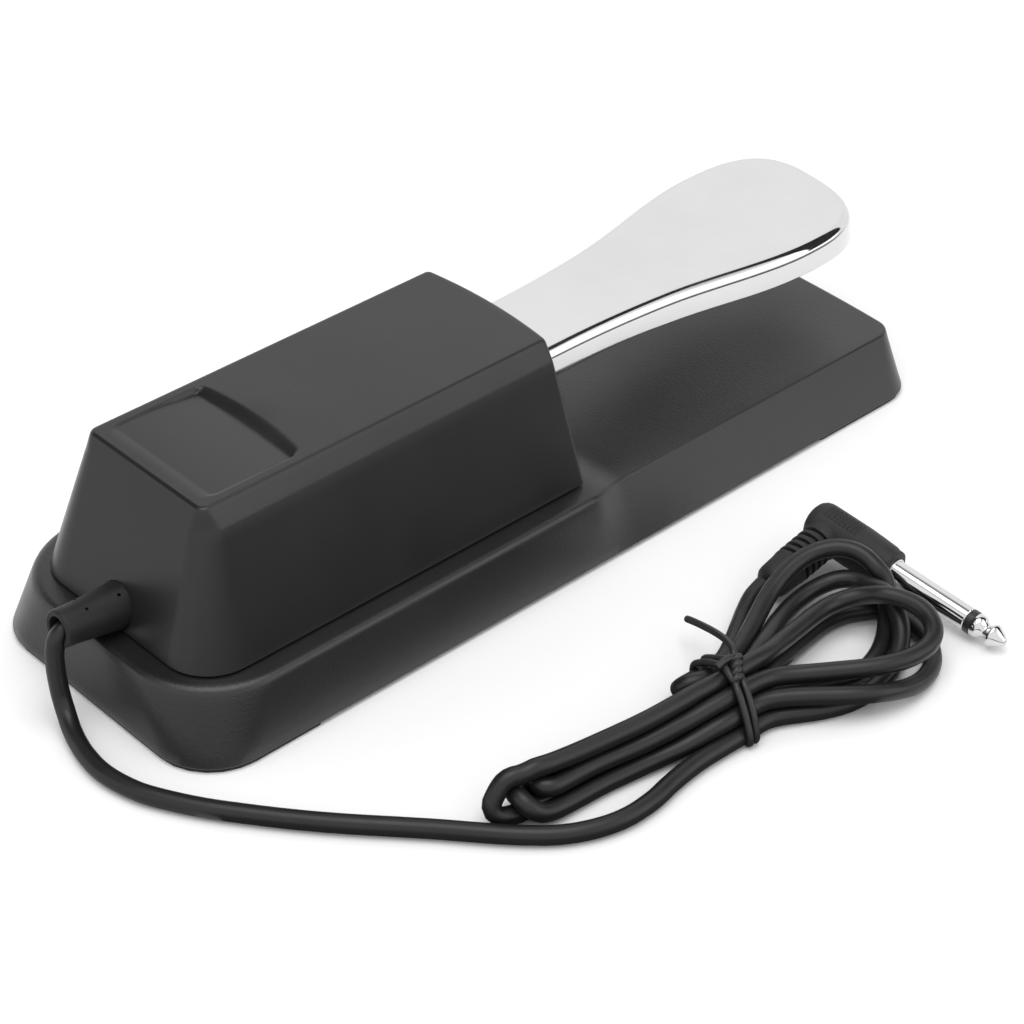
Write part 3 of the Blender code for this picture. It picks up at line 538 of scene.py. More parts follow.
LOOP_LOW = [
    (-114.0, 13.2, 2.4), (-117.5, 7.2, 2.4), (-121.6, 1.1, 2.4), (-124.6, -5.8, 2.4),
    (-125.2, -12.7, 2.4), (-124.3, -19.0, 2.4), (-122.0, -26.3, 3.0), (-119.1, -31.3, 5.0),
    (-114.9, -35.0, 7.0), (-108.3, -38.4, 8.0), (-102.5, -39.2, 9.0), (-97.3, -37.6, 9.0),
    (-93.6, -34.4, 8.0), (-91.9, -29.0, 7.0), (-91.6, -22.8, 6.0), (-93.7, -14.4, 6.0),
    (-98.8, -3.6, 8.0), (-102.3, 3.5, 8.6),
]
FOLD_NEAR = [
    (-104.6, 11.0, 8.0), (-104.0, 19.0, 6.8), (-101.8, 30.0, 3.4), (-98.8, 43.0, 2.4),
    (-96.4, 56.0, 2.4), (-95.2, 67.0, 2.4), (-94.9, 73.0, 2.8), (-96.0, 77.6, 4.6),
    (-99.2, 79.6, 6.6), (-102.4, 79.2, 4.8), (-104.1, 75.6, 2.6), (-104.8, 70.0, 2.4),
    (-105.3, 60.0, 2.4), (-106.4, 45.0, 2.4), (-108.6, 32.0, 3.2), (-111.6, 21.0, 5.6),
]
LOOP_NEAR = [
    (-112.2, 13.1, 6.6), (-115.2, 8.5, 7.0), (-121.4, 1.3, 7.0), (-127.5, -6.0, 7.0),
    (-131.0, -13.2, 6.0), (-131.4, -22.4, 3.0), (-130.0, -29.7, 2.4), (-126.2, -35.2, 2.4),
    (-121.2, -38.8, 2.4), (-115.2, -40.5, 2.4), (-108.6, -40.0, 2.4), (-103.9, -36.5, 2.4),
    (-100.3, -31.3, 2.4), (-99.4, -25.0, 2.4), (-101.0, -15.5, 3.0), (-103.8, -0.3, 4.2),
]
FOLD_MIDDLE = [
    (-106.2, 10.0, 3.0), (-106.1, 20.0, 2.8), (-104.0, 31.0, 4.6), (-101.0, 43.0, 6.2),
    (-98.4, 56.0, 6.6), (-96.8, 64.0, 6.8), (-96.2, 69.0, 7.0), (-97.6, 73.0, 7.0),
    (-100.6, 73.4, 6.8), (-102.2, 70.0, 6.6), (-102.2, 64.0, 6.5), (-102.8, 55.0, 6.5),
    (-104.6, 43.0, 6.7), (-107.6, 30.0, 8.4), (-109.6, 21.0, 9.8),
]
LOOP_TOP = [
    (-109.9, 13.0, 9.8), (-110.1, 6.7, 9.4), (-114.4, 0.9, 9.2), (-120.1, -7.0, 9.4),
    (-124.9, -12.6, 10.0), (-128.2, -19.4, 10.0), (-129.4, -25.2, 10.0), (-129.1, -30.4, 10.0),
    (-127.3, -33.9, 11.0), (-123.6, -36.4, 12.0), (-118.8, -36.9, 13.0), (-113.6, -35.6, 13.0),
    (-108.5, -33.7, 12.0), (-104.1, -31.4, 10.4), (-101.5, -27.5, 9.4), (-100.8, -21.1, 9.2),
    (-102.6, -11.0, 9.8), (-104.4, 2.5, 10.4),
]
FOLD_FAR = [
    (-105.6, 11.0, 11.2), (-105.8, 20.0, 11.2), (-104.8, 30.0, 11.2), (-103.4, 43.0, 11.2),
    (-101.4, 56.0, 11.0), (-99.8, 66.0, 11.0), (-98.2, 74.0, 10.8), (-96.8, 80.4, 8.8),
    (-95.9, 84.2, 6.0), (-96.4, 85.4, 3.4), (-98.4, 83.2, 2.4), (-99.9, 77.0, 2.4),
    (-100.2, 68.0, 2.4), (-100.6, 57.0, 2.4), (-103.0, 43.0, 2.4), (-106.8, 30.0, 2.4),
    (-110.0, 20.0, 2.4),
]
LOOP_BOOT = [
    (-109.8, 12.0, 2.4), (-108.9, 4.7, 2.4), (-112.6, -1.7, 2.4), (-117.3, -10.4, 2.4),
    (-119.0, -16.8, 2.4), (-117.6, -23.6, 2.4), (-114.3, -30.4, 2.6), (-110.2, -36.0, 3.4),
    (-106.9, -39.2, 6.0), (-103.0, -41.4, 9.2), (-99.5, -42.2, 12.2), (-95.8, -41.2, 14.4),
    (-91.1, -39.1, 14.6), (-87.8, -34.6, 14.0), (-86.4, -28.9, 13.0), (-86.7, -21.6, 11.0),
    (-88.8, -14.0, 9.0), (-93.5, -4.6, 8.0), (-97.4, 3.7, 7.6),
]
TURN_BACK = [
    (-99.8, 11.0, 7.4), (-100.9, 17.0, 7.4), (-100.2, 22.6, 6.8), (-97.2, 24.6, 5.6),
    (-94.6, 21.4, 4.4), (-94.0, 14.0, 3.0), (-93.6, 8.0, 2.4), (-93.4, 4.4, 2.4), (-91.2, 0.2, 2.4),
    (-87.6, -5.8, 2.5), (-84.2, -11.8, 3.2), (-82.0, -17.0, 4.5), (-81.2, -21.6, 5.4),
]
ROUTE = (LEAD + LOOP_LOW + FOLD_NEAR + LOOP_NEAR + FOLD_MIDDLE + LOOP_TOP + FOLD_FAR + LOOP_BOOT
         + TURN_BACK)

LAID_SPACING = 2.0 * MM         # between the cord's points while it settles
DRAWN_SPACING = 1.3 * MM        # and in the finished tube
LOOSE_HOLD = 0.03               # how firmly the hank's points keep to where they were laid
LEAD_RELEASE = 12               # the last points of the lead that may move with the hank
BOOT_POINTS = 7                 # the points held in the plug's boot
SETTLING_ROUNDS = 260
STRAND_GAP = 1.01               # strands rest this many diameters apart
STRAIGHTENING = 0.2
BEND_SHARE = 0.25               # how much of a too tight bend one round opens
STRETCH_SHARE = 0.25            # how much of a wrong spacing one round corrects
SHOVE_SHARE = 0.9               # how much of an overlap one round clears

PLUG_TIP = Vector((-135.7, -50.4, 3.3)) * MM
PLUG_AXIS = Vector((0.9925, 0.058, 0.108)).normalized()
LEG_AXIS = Vector((0.0, 0.988, -0.146))
LEG_STATION = 55.0 * MM
LEG_LENGTH = 22
BARREL_STATIONS = (38, 58)
BARREL_REACH = 6.3 * MM
LEG_REACH = 5.2 * MM


def plug_matrix():
    """The plug's own frame: X from the tip along the barrel, Y down the boot's leg."""
    across = (LEG_AXIS - PLUG_AXIS * LEG_AXIS.dot(PLUG_AXIS)).normalized()
    matrix = Matrix((PLUG_AXIS, across, PLUG_AXIS.cross(across))).transposed().to_4x4()
    matrix.translation = PLUG_TIP
    return matrix


def nearest_on_segment(points, start, end):
    span = end - start
    share = np.clip((points - start) @ span / (span @ span), 0, 1)
    return start + share[:, None] * span


def settle(points, radius, obstacles, held):
    """Relaxes a cord laid along the given points: strands stop cutting each other, the boot and the floor.

    obstacles are (start, end, radius) capsules. held is each point's hold on its first place."""
    home = points.copy()
    count = len(points)
    spacing = np.linalg.norm(np.diff(points, axis=0), axis=1).mean()
    apart = 2 * radius * STRAND_GAP
    near = int(math.ceil(2.2 * apart / spacing))
    index = np.arange(count)
    most_sag = spacing ** 2 / (2 * BEND_AIM)
    strangers = np.abs(index[:, None] - index[None, :]) > near
    for _ in range(SETTLING_ROUNDS):
        middle = (points[:-2] + points[2:]) / 2
        free = (1 - held[1:-1])[:, None]
        sag = middle - points[1:-1]
        points[1:-1] += STRAIGHTENING * free * sag
        size = np.linalg.norm(sag, axis=1, keepdims=True) + 1e-9
        excess = BEND_SHARE * sag * np.maximum(0.0, 1 - most_sag / size)
        points[1:-1] += 2 * free * excess
        points[:-2] -= np.vstack([free[:1], free[:-1]]) * excess
        points[2:] -= np.vstack([free[1:], free[-1:]]) * excess
        points += np.clip(held, LOOSE_HOLD, 1.0)[:, None] * (home - points)
        steps = np.diff(points, axis=0)
        lengths = np.linalg.norm(steps, axis=1, keepdims=True)
        pull = STRETCH_SHARE * steps * (1 - spacing / lengths)
        points[:-1] += pull
        points[1:] -= pull
        offset = points[:, None, :] - points[None, :, :]
        distance = np.sqrt((offset ** 2).sum(2)) + 1e-9
        close = strangers & (distance < apart)
        shove = np.where(close, (apart - distance) / distance, 0.0)
        touching = np.maximum(close.sum(1), 1)[:, None]
        points += SHOVE_SHARE * (offset * shove[:, :, None]).sum(1) / touching
        for start, end, size in obstacles:
            nearest = nearest_on_segment(points, start, end)
            away = points - nearest
            gap = np.linalg.norm(away, axis=1, keepdims=True)
            inside = (gap[:, 0] < size + radius) & (held < 0.9)
            points[inside] += (away / gap * (size + radius - gap))[inside]
        points[:, 2] = np.maximum(points[:, 2], radius)
    return points


def add_cord():
    """One strand from the strain relief to the plug; returns it with the points it settled to."""
    points = resample(np.array(ROUTE) * MM, LAID_SPACING)
    lead_end = np.array(LEAD[-1]) * MM
    first_points = points[:200]
    lead_count = int(np.argmin(np.linalg.norm(first_points - lead_end, axis=1)))
    held = np.full(len(points), LOOSE_HOLD)
    held[:lead_count - LEAD_RELEASE] = 1.0
    held[-BOOT_POINTS:] = 1.0
    matrix = plug_matrix()
    barrel = [np.array(matrix @ Vector((x * MM, 0, 0))) for x in BARREL_STATIONS]
    leg = [np.array(matrix @ Vector((LEG_STATION, y * MM, 0))) for y in (0, LEG_LENGTH)]
    obstacles = [(barrel[0], barrel[1], BARREL_REACH), (leg[0], leg[1], LEG_REACH)]
    points = settle(points, CORD_RADIUS, obstacles, held)
    points = resample(points, DRAWN_SPACING)
    replaced = ["cord_lead", "cord_hank", "cord_tail"]
    return tube("cord", points, CORD_RADIUS, vinyl(), replaced), points


# -------------------- base

BASE_LOW, BASE_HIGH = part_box("base_housing")
BASE_HALF = BASE_HIGH.x
BASE_FRONT = BASE_LOW.y
BASE_REAR = BASE_HIGH.y
BASE_BOTTOM = BASE_LOW.z
LEDGE_Z = BASE_HIGH.z
DECK_DROP = 2.4 * MM            # how much lower the deck's edge is ahead of the cover
DECK_DISH = 0.35 * MM           # how far the deck dips below its edge
FRONT_BOW = 1.9 * MM            # the front edge of the deck is slightly bowed
FRONT_RADIUS = 11.0 * MM
REAR_RADIUS = 16.5 * MM         # at the floor; the corner opens out towards the rim
REAR_OPENING = 0.43
BASE_COLUMNS = [c / 10 for c in range(-10, 11)]
WALL = 2.6 * MM
COVER_LOW, COVER_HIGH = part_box("upper_cover")

# height, inset of the side and of the rear, then of the side and the end ahead of the cover, in mm
BASE_WALL = [
    (0.00, 0.45, 0.45, 0.45, 0.45), (0.15, 0.15, 0.15, 0.15, 0.15), (0.50, 0.02, 0.02, 0.02, 0.02),
    (3.0, 0.45, 0.30, 1.05, 0.60), (7.0, 1.18, 0.76, 2.72, 1.50), (11.0, 1.92, 1.22, 4.40, 2.40),
    (15.0, 2.66, 1.68, 6.08, 3.30), (16.9, 3.05, 1.90, 6.88, 3.72), (17.6, 3.28, 2.05, 7.17, 3.88),
    (18.1, 3.60, 2.34, 7.38, 4.00), (18.42, 4.05, 2.75, 7.58, 4.18), (18.56, 4.55, 3.20, 7.86, 4.45),
    (18.60, 5.10, 3.75, 8.30, 4.88),
]
BASE_INSIDE = [(0.0, 2.6, 2.6, 2.9, 2.6), (14.5, 5.6, 4.4, 9.0, 5.9), (16.1, 6.6, 5.4, 10.2, 7.0)]


def front_share(y):
    """0 beside the cover, 1 along the front deck, with a soft S between them."""
    return smooth_step(-y, 2.0 * MM, 16.5 * MM)


def base_ring(level):
    """The base in plan at one level of its wall, narrower and lower ahead of the cover."""
    height, side, rear, front_side, front = (value * MM for value in level)
    stations = [-92 * MM + i * 9 * MM for i in range(8)]
    stations += spread(-24 * MM, 0.0, 20)
    stations += [i * 10 * MM for i in range(1, 10)]
    points = outline(BASE_HALF - side, BASE_FRONT + front, BASE_REAR - rear,
                     FRONT_RADIUS - 0.75 * front_side, REAR_RADIUS + REAR_OPENING * height,
                     stations, BASE_COLUMNS)
    top = LEDGE_Z - BASE_BOTTOM
    ring = []
    for x, y in points:
        share = front_share(y)
        x -= math.copysign((front_side - side) * share, x) * min(1.0, abs(x) / (30 * MM))
        if y < -60 * MM:
            bow = FRONT_BOW * (height / top) * max(0.0, 1 - (x / BASE_HALF) ** 2)
            y -= bow * smooth_step(-y, 60 * MM, 118 * MM)
        ring.append((x, y, BASE_BOTTOM + height * (1 - DECK_DROP / top * share)))
    return ring


def deck_height(x, y):
    """The ledge round the cover is level; ahead of it the deck is a shallow dish."""
    share = front_share(y)
    across = max(0.0, 1 - (x / (37 * MM)) ** 2)
    end = smooth_step(y - BASE_FRONT, 6 * MM, 30 * MM)
    return LEDGE_Z - DECK_DROP * share - DECK_DISH * share * across * end


def add_base(mat):
    """The hollow base, open underneath, with its deck as a height field."""
    build = Builder()
    loops = build.skin([base_ring(level) for level in BASE_WALL])
    cap(build, loops[-1], BASE_COLUMNS, deck_height)
    inner_loops = build.skin([base_ring(level) for level in BASE_INSIDE])
    build.bridge(inner_loops[0], loops[0])
    build.fill(inner_loops[-1])
    piece("base_shell", build.points, build.faces, mat, "case", ["base_housing"])


# -------------------- upper cover

COVER_TOP = COVER_HIGH.z
COVER_FOOT = COVER_LOW.z
COVER_FOOT_REAR = COVER_HIGH.y
COVER_FOOT_FRONT = -4.7 * MM
COVER_BULGE = 1.7 * MM           # how far the front wall is bowed outwards
SHOULDER_Z = 53.6                # the slanted strip along each side runs from here
RIDGE_Z = 58.8                   # to here, in mm
REAR_LEAN = 12.5 / 38.9
FRONT_LEAN = 2.6 / 38.9
FOOT_RADIUS = 13.0               # of the rear corners, in mm, and how much they lose
WALL_TIGHTENING = 7.5            # up to the shoulder
STRIP_TIGHTENING = 3.4           # and from there to the ridge
COVER_FRONT_RADIUS = 1.1 * MM
SLOT_HALF = 16.6
SLOT_Y = (-12, 1.5)
SLOT_Z = (31.5, 48.9)
RELIEF_HOLE = 6.1 * MM
RECESS_HALF = 19.2 * MM
RECESS_FRONT = 73.7 * MM
RECESS_REAR = 100.6 * MM
RECESS_DEPTH = 1.5 * MM
RECESS_SHALLOW = 0.25 * MM       # its depth where it runs out towards the rear
RECESS_CORNER = 2.6 * MM
RECESS_SLOPE = 2.3 * MM
RECESS_BOW = 2.7 * MM            # the front wall's upper edge is bowed and its slope widens with it
COVER_COLUMNS = ([-1, -0.975, -0.95, -0.925] + [-0.91 + 0.012 * i for i in range(9)]
                 + [-0.75 + 0.125 * i for i in range(13)] + [0.814 + 0.012 * i for i in range(9)]
                 + [0.925, 0.95, 0.975, 1])

RELIEF_MOUTH = Vector((0, 130.0, 26.1)) * MM
RELIEF_LEAN = Vector((0.0, 0.994, 0.105))     # the strain relief points slightly upwards

# height, half width, how far the rear and the front are drawn in beyond their lean, in mm
COVER_WALL = [
    (20.2, 34.31, 0.0, 0.0), (27.0, 32.34, 0.0, 0.0), (35.0, 30.03, 0.0, 0.0), (43.0, 27.71, 0.0, 0.0),
    (50.0, 25.69, 0.0, 0.0), (53.1, 24.79, 0.0, 0.0), (53.6, 24.58, 0.0, 0.0), (54.1, 24.34, 0.0, 0.0),
    (56.0, 23.39, 0.0, 0.0), (57.6, 22.58, 0.0, 0.0), (58.2, 22.26, 0.06, 0.08),
    (58.55, 22.00, 0.22, 0.25), (58.72, 21.75, 0.48, 0.50), (58.80, 21.35, 0.85, 0.90),
]
COVER_INSIDE = [(20.2, 34.31, 0, 0), (36.0, 29.74, 0, 0), (52.4, 24.9, 0, 0), (54.6, 23.8, 0, 0)]


def relief_axis(y):
    """The point on the strain relief's axis at y."""
    return RELIEF_MOUTH + RELIEF_LEAN * (y - RELIEF_MOUTH.y) / RELIEF_LEAN.y


def cover_radius(z):
    """The rear corners tighten slowly up to the shoulder, then faster across the slanted strip."""
    wall = min(1.0, (z - COVER_FOOT / MM) / (SHOULDER_Z - COVER_FOOT / MM))
    strip = max(0.0, (z - SHOULDER_Z) / (RIDGE_Z - SHOULDER_Z))
    return (FOOT_RADIUS - WALL_TIGHTENING * wall - STRIP_TIGHTENING * strip) * MM


def cover_ring(level, shrink=0.0):
    """The cover in plan at one level of its wall, drawn in all round by shrink."""
    z, half, rear_in, front_in = level
    stations = [2 * MM] + [i * 8 * MM for i in range(1, 9)] + spread(71 * MM, 100.4 * MM, 44)
    rise = z * MM - COVER_FOOT
    rear = COVER_FOOT_REAR - REAR_LEAN * rise - rear_in * MM - shrink
    front = COVER_FOOT_FRONT + FRONT_LEAN * rise + front_in * MM + shrink
    width = half * MM - shrink
    front_radius = max(COVER_FRONT_RADIUS - shrink, 0.4 * MM)
    points = outline(width, front, rear, front_radius, cover_radius(z) - shrink, stations,
                     COVER_COLUMNS, turns=12)
    ring = []
    for x, y in points:
        if y < 2 * MM:
            y -= COVER_BULGE * (1 - (x / width) ** 2) * (2 * MM - y) / (2 * MM - front)
        ring.append((x, y, z * MM))
    return ring


def recess_depth(x, y):
    """A shallow thumb rest with soft corners; its front wall is a scoop, widest in the middle."""
    bow = RECESS_BOW * max(0.0, 1 - (x / RECESS_HALF) ** 2)
    upper_edge = RECESS_FRONT - bow
    inner_x = max(0.0, abs(x) - (RECESS_HALF - RECESS_CORNER))
    inner_front = max(0.0, upper_edge + RECESS_CORNER - y)
    inner_rear = max(0.0, y - (RECESS_REAR - RECESS_CORNER))
    past = math.hypot(inner_x, inner_front + inner_rear) - RECESS_CORNER
    wall = smooth_step(-past, -0.1 * MM, 0.7 * MM)
    scoop = smooth_step(y - upper_edge, -0.1 * MM, RECESS_SLOPE + bow)
    share = (RECESS_REAR - y) / (RECESS_REAR - RECESS_FRONT)
    floor = RECESS_SHALLOW + (RECESS_DEPTH - RECESS_SHALLOW) * max(0.0, min(1.0, share)) ** 2
    return floor * wall * scoop


def add_cover(mat):
    """The hollow cover with the lever's slot in front and the strain relief's hole behind."""
    build = Builder()
    loops = build.skin([cover_ring(level) for level in COVER_WALL])
    cap(build, loops[-1], COVER_COLUMNS, lambda x, y: COVER_TOP - recess_depth(x, y))
    inner_loops = build.skin([cover_ring(level, WALL) for level in COVER_INSIDE])
    build.bridge(inner_loops[0], loops[0])
    build.fill(inner_loops[-1])
    cover = piece("cover_shell", build.points, build.faces, mat, "case", ["upper_cover"])
    slot = Builder()
    front, rear = SLOT_Y
    plan = [(-SLOT_HALF, front), (SLOT_HALF, front), (SLOT_HALF, rear), (-SLOT_HALF, rear)]
    low, high = slot.skin([[(x * MM, y * MM, z * MM) for x, y in plan] for z in SLOT_Z])
    slot.fill(low, flip=True)
    slot.fill(high)
    hole = Builder()
    hole.turned([(RELIEF_HOLE, -14 * MM), (RELIEF_HOLE, 3 * MM)], 32,
                pose(relief_axis(119 * MM), RELIEF_LEAN))
    cut(cover, slot, "lever_slot_cutter")
    cut(cover, hole, "relief_hole_cutter")


def pose(place, axis):
    """A matrix that puts the Z axis along axis at place."""
    turn = Vector((0, 0, 1)).rotation_difference(Vector(axis)).to_matrix().to_4x4()
    return Matrix.Translation(Vector(place)) @ turn


def cut(obj, build, name):
    """Takes the builder's closed body away from obj, for good."""
    mesh = bpy.data.meshes.new(name)
    mesh.from_pydata([tuple(point) for point in build.points], [], build.faces)
    cutter = linked(name, mesh)
    boolean = obj.modifiers.new(name, "BOOLEAN")
    boolean.operation = "DIFFERENCE"
    boolean.solver = "EXACT"
    boolean.object = cutter
    bpy.context.view_layer.update()
    evaluated = obj.evaluated_get(bpy.context.evaluated_depsgraph_get())
    result = bpy.data.meshes.new_from_object(evaluated)
    obj.modifiers.clear()
    old = obj.data
    obj.data = result
    bpy.data.meshes.remove(old)
    bpy.data.objects.remove(cutter)
    result.set_sharp_from_angle(angle=math.radians(SHARP_ANGLE))


# -------------------- lever

LEVER_LOW, LEVER_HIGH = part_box("pedal_lever")
PADDLE_HALF = LEVER_HIGH.x
PADDLE_ROUND = -98.0 * MM
NECK_END = -51.0 * MM
NECK_START = -13.0 * MM
NECK_HALF = 14.7 * MM
NECK_GAIN = 2.4 * MM            # how much wider the neck is where the paddle begins
LEVER_EDGE = 3.2 * MM
LEVER_TOE = LEVER_LOW.y
TOE_FULLNESS = 1.0 * MM         # the toe is a little fuller than its plan curve,
TOE_SKEW = 2.6 * MM             # and longer on its right side than on its left
TOE_POWER = 2.8                 # how square the toe's curve is; 2 would be an ellipse
SKIRT_FLARE = 0.45 * MM         # the skirt leans outwards by this much at its lower edge
BAR_HALF = 11.5 * MM
TOE_FLAT = 0.12                 # the share of the toe's width that closes its loop in the middle
LEVER_COLUMNS = [c / 8 for c in range(-8, 9)]

# The hollow under the foot plate: inset, and height from the skirt's edge or the plate's top, in mm.
POCKET_MOUTH = [(1.9, -3.0), (2.1, 0.3)]
POCKET_ROOF = [(2.5, -3.6), (3.0, -3.0), (4.0, -2.7)]
POCKET_END = -4.0 * MM


def lever_half(y):
    """Half the lever's width: the bar, the neck that widens slowly, then the paddle's flare."""
    if y > 8 * MM:
        return BAR_HALF
    neck = NECK_START - NECK_END
    if y > NECK_END:
        return NECK_HALF + NECK_GAIN * (max(0.0, NECK_START - y) / neck) ** 2
    run = NECK_END - PADDLE_ROUND
    t = (NECK_END - y) / run
    start = (1 + 2 * t) * (1 - t) ** 2
    slope = t * (1 - t) ** 2 * run * 2 * NECK_GAIN / neck
    return start * (NECK_HALF + NECK_GAIN) + slope + (1 - start) * PADDLE_HALF


def lever_top(y):
    """The foot plate rises very slightly towards its toe."""
    return LEVER_HIGH.z + 0.011 * max(0.0, -y - 15 * MM)


def lever_under(y):
    """The skirt is shallower beside the cover and under the toe."""
    neck = 0.35 * smooth_step(y, -52 * MM, -40 * MM) - 0.75 * smooth_step(y, -40 * MM, -16 * MM)
    toe = 0.4 * smooth_step(-y, 76 * MM, 98 * MM)
    return LEVER_LOW.z + (0.25 + neck + toe) * MM * (1 - smooth_step(y, -4 * MM, 8 * MM))


def lever_plan(inset):
    """The lever in plan as a loop for cap(): the toe's middle, the right side, the tail, the left."""
    tail = LEVER_HIGH.y - inset
    reach = PADDLE_ROUND - LEVER_TOE - inset
    half = PADDLE_HALF - inset

    def toe(share):
        length = reach + TOE_FULLNESS + TOE_SKEW * share
        return PADDLE_ROUND - length * (1 - abs(share) ** TOE_POWER) ** (1 / TOE_POWER)

    points = [(c * TOE_FLAT * half, toe(c * TOE_FLAT)) for c in LEVER_COLUMNS[:-1]]
    side = []
    for i in range(33):
        angle = math.pi / 2 * i / 33
        share = max(TOE_FLAT, math.sin(angle) ** (2 / TOE_POWER))
        if share > TOE_FLAT or i == 0:
            side.append((share * half, toe(share)))
    stations = spread(PADDLE_ROUND, NECK_END, 22) + spread(NECK_END, 7.8 * MM, 16)[1:]
    side += [(lever_half(y) - inset, y) for y in stations + [8.2 * MM, tail]]
    points += side
    points += [(-c * (BAR_HALF - inset), tail) for c in LEVER_COLUMNS[1:-1]]
    left = [(-x, y) for x, y in reversed(side)][:-1]
    points += [(x, toe(x / half)) if y < PADDLE_ROUND else (x, y) for x, y in left]
    return points


def add_lever(mat):
    """The chrome foot plate with its skirt, hollow underneath ahead of the cover."""

    def level(inset, height):
        """A ring whose height runs from 0 at the underside to 1 where the rounded edge starts."""
        ring = []
        for x, y in lever_plan(inset):
            low = lever_under(y)
            high = lever_top(y) - LEVER_EDGE
            z = low + (high - low) * height if height <= 1 else high + (height - 1) * LEVER_EDGE
            ring.append((x, y, z))
        return ring

    rings = [level(0.45 * MM - SKIRT_FLARE, 0.0), level(0.12 * MM - SKIRT_FLARE, 0.02),
             level(-0.92 * SKIRT_FLARE, 0.08), level(0.0, 1.0)]
    for step in range(1, 13):
        angle = math.radians(7.5 * step)
        rings.append(level(LEVER_EDGE * (1 - math.cos(angle)), 1 + math.sin(angle)))
    build = Builder()
    loops = build.skin(rings)
    cap(build, loops[-1], LEVER_COLUMNS, lambda x, y: lever_top(y))
    build.fill(loops[0], flip=True)
    lever = piece("lever_plate", build.points, build.faces, mat, "lever", ["pedal_lever"])
    pocket = Builder()
    levels = [(inset, LEVER_LOW.z + z * MM) for inset, z in POCKET_MOUTH]
    levels += [(inset, LEVER_HIGH.z + z * MM) for inset, z in POCKET_ROOF]
    rings = []
    for inset, z in levels:
        rings.append([(x, y, z) for x, y in lever_plan(inset * MM) if y < POCKET_END])
    loops = pocket.skin(rings)
    pocket.fill(loops[0], flip=True)
    pocket.fill(loops[-1])
    cut(lever, pocket, "lever_pocket_cutter")


# -------------------- strain relief, tie and plug

# Turned parts: radius and distance along the axis, in mm.
RELIEF_PROFILE = [(3.6, 0.0), (5.6, 0.0), (5.9, 4.0), (5.95, 7.6), (5.75, 9.5), (5.2, 16.0), (4.85, 21.0)]
RELIEF_LIP = 0.85 * MM
PIN_HOLES = [(8.5, 62), (8.5, 118), (17.5, 62), (17.5, 118)]     # distance along, angle in degrees

TIE_WIRE = 0.9 * MM
TIE_WRAPS = [(17.4 * MM, -0.30), (14.6 * MM, -0.36)]             # station, lean
TIE_REACH = 1.6 * MM
KNOT_AXIS = Vector((0.62, -0.62, 0.18)).normalized()
KNOT_PITCH = 0.26 * MM
KNOT_RADIUS = 0.75 * MM
KNOT_STEPS = 29
LONG_TAIL = [(2.4, -1.6, 0.4), (6.0, -3.0, -0.2), (10.5, -4.4, -1.6), (15.0, -6.0, -3.6),
             (20.0, -8.0, -6.2), (25.0, -10.0, -9.0)]
SHORT_TAIL = [(0.6, 1.6, 0.6), (0.8, 4.2, 0.9), (0.7, 7.0, 0.4)]

BARREL_PROFILE = ([(3.5, 35.3), (4.7, 35.3), (5.1, 35.55), (5.2, 36.0), (5.2, 37.0), (5.35, 37.3),
                   (5.5, 37.9), (5.7, 41.0), (5.9, 45.0), (5.95, 46.4)]
                  + [(5.95, 46.6 + 0.25 * i) for i in range(45)]
                  + [(5.95, 57.9), (5.9, 58.8), (5.6, 59.8), (5.0, 60.7), (4.1, 61.3), (2.8, 61.7),
                     (1.2, 61.85)])
STUD_ANGLE = math.radians(187)   # where the barrel's grip studs sit,
STUD_ROW = 9.0                   # how many degrees apart their rows are
STUD_PITCH = 1.25 * MM           # and how far apart they are along a row
STUD_HEIGHT = 0.3 * MM
STUD_SPAN = (46.8 * MM, 57.2 * MM)
LEG_RIBS = 5
RIB_START = 6.0
RIB_PITCH = 2.3
RING_PROFILE = [(1.6, 9.4), (3.0, 9.4), (3.15, 9.5), (3.15, 11.1), (3.0, 11.2), (1.6, 11.2)]
SLEEVE_PROFILE = [(2.0, 11.3), (3.0, 11.3), (3.175, 11.5), (3.175, 34.6), (3.5, 34.75), (3.5, 35.25),
                  (2.0, 35.3)]
TIP_PROFILE = [(0.25, 0.0), (0.7, 0.1), (1.05, 0.4), (1.7, 1.3), (2.4, 2.4), (2.95, 3.3), (3.1, 3.75),
               (3.05, 4.15), (2.7, 4.6), (2.0, 5.2), (1.75, 5.7), (1.85, 6.2), (2.4, 6.8), (2.85, 7.3),
               (3.05, 7.8), (3.12, 8.3), (3.12, 9.2), (3.0, 9.32), (1.6, 9.35)]


def in_mm(profile):
    return [(radius * MM, height * MM) for radius, height in profile]


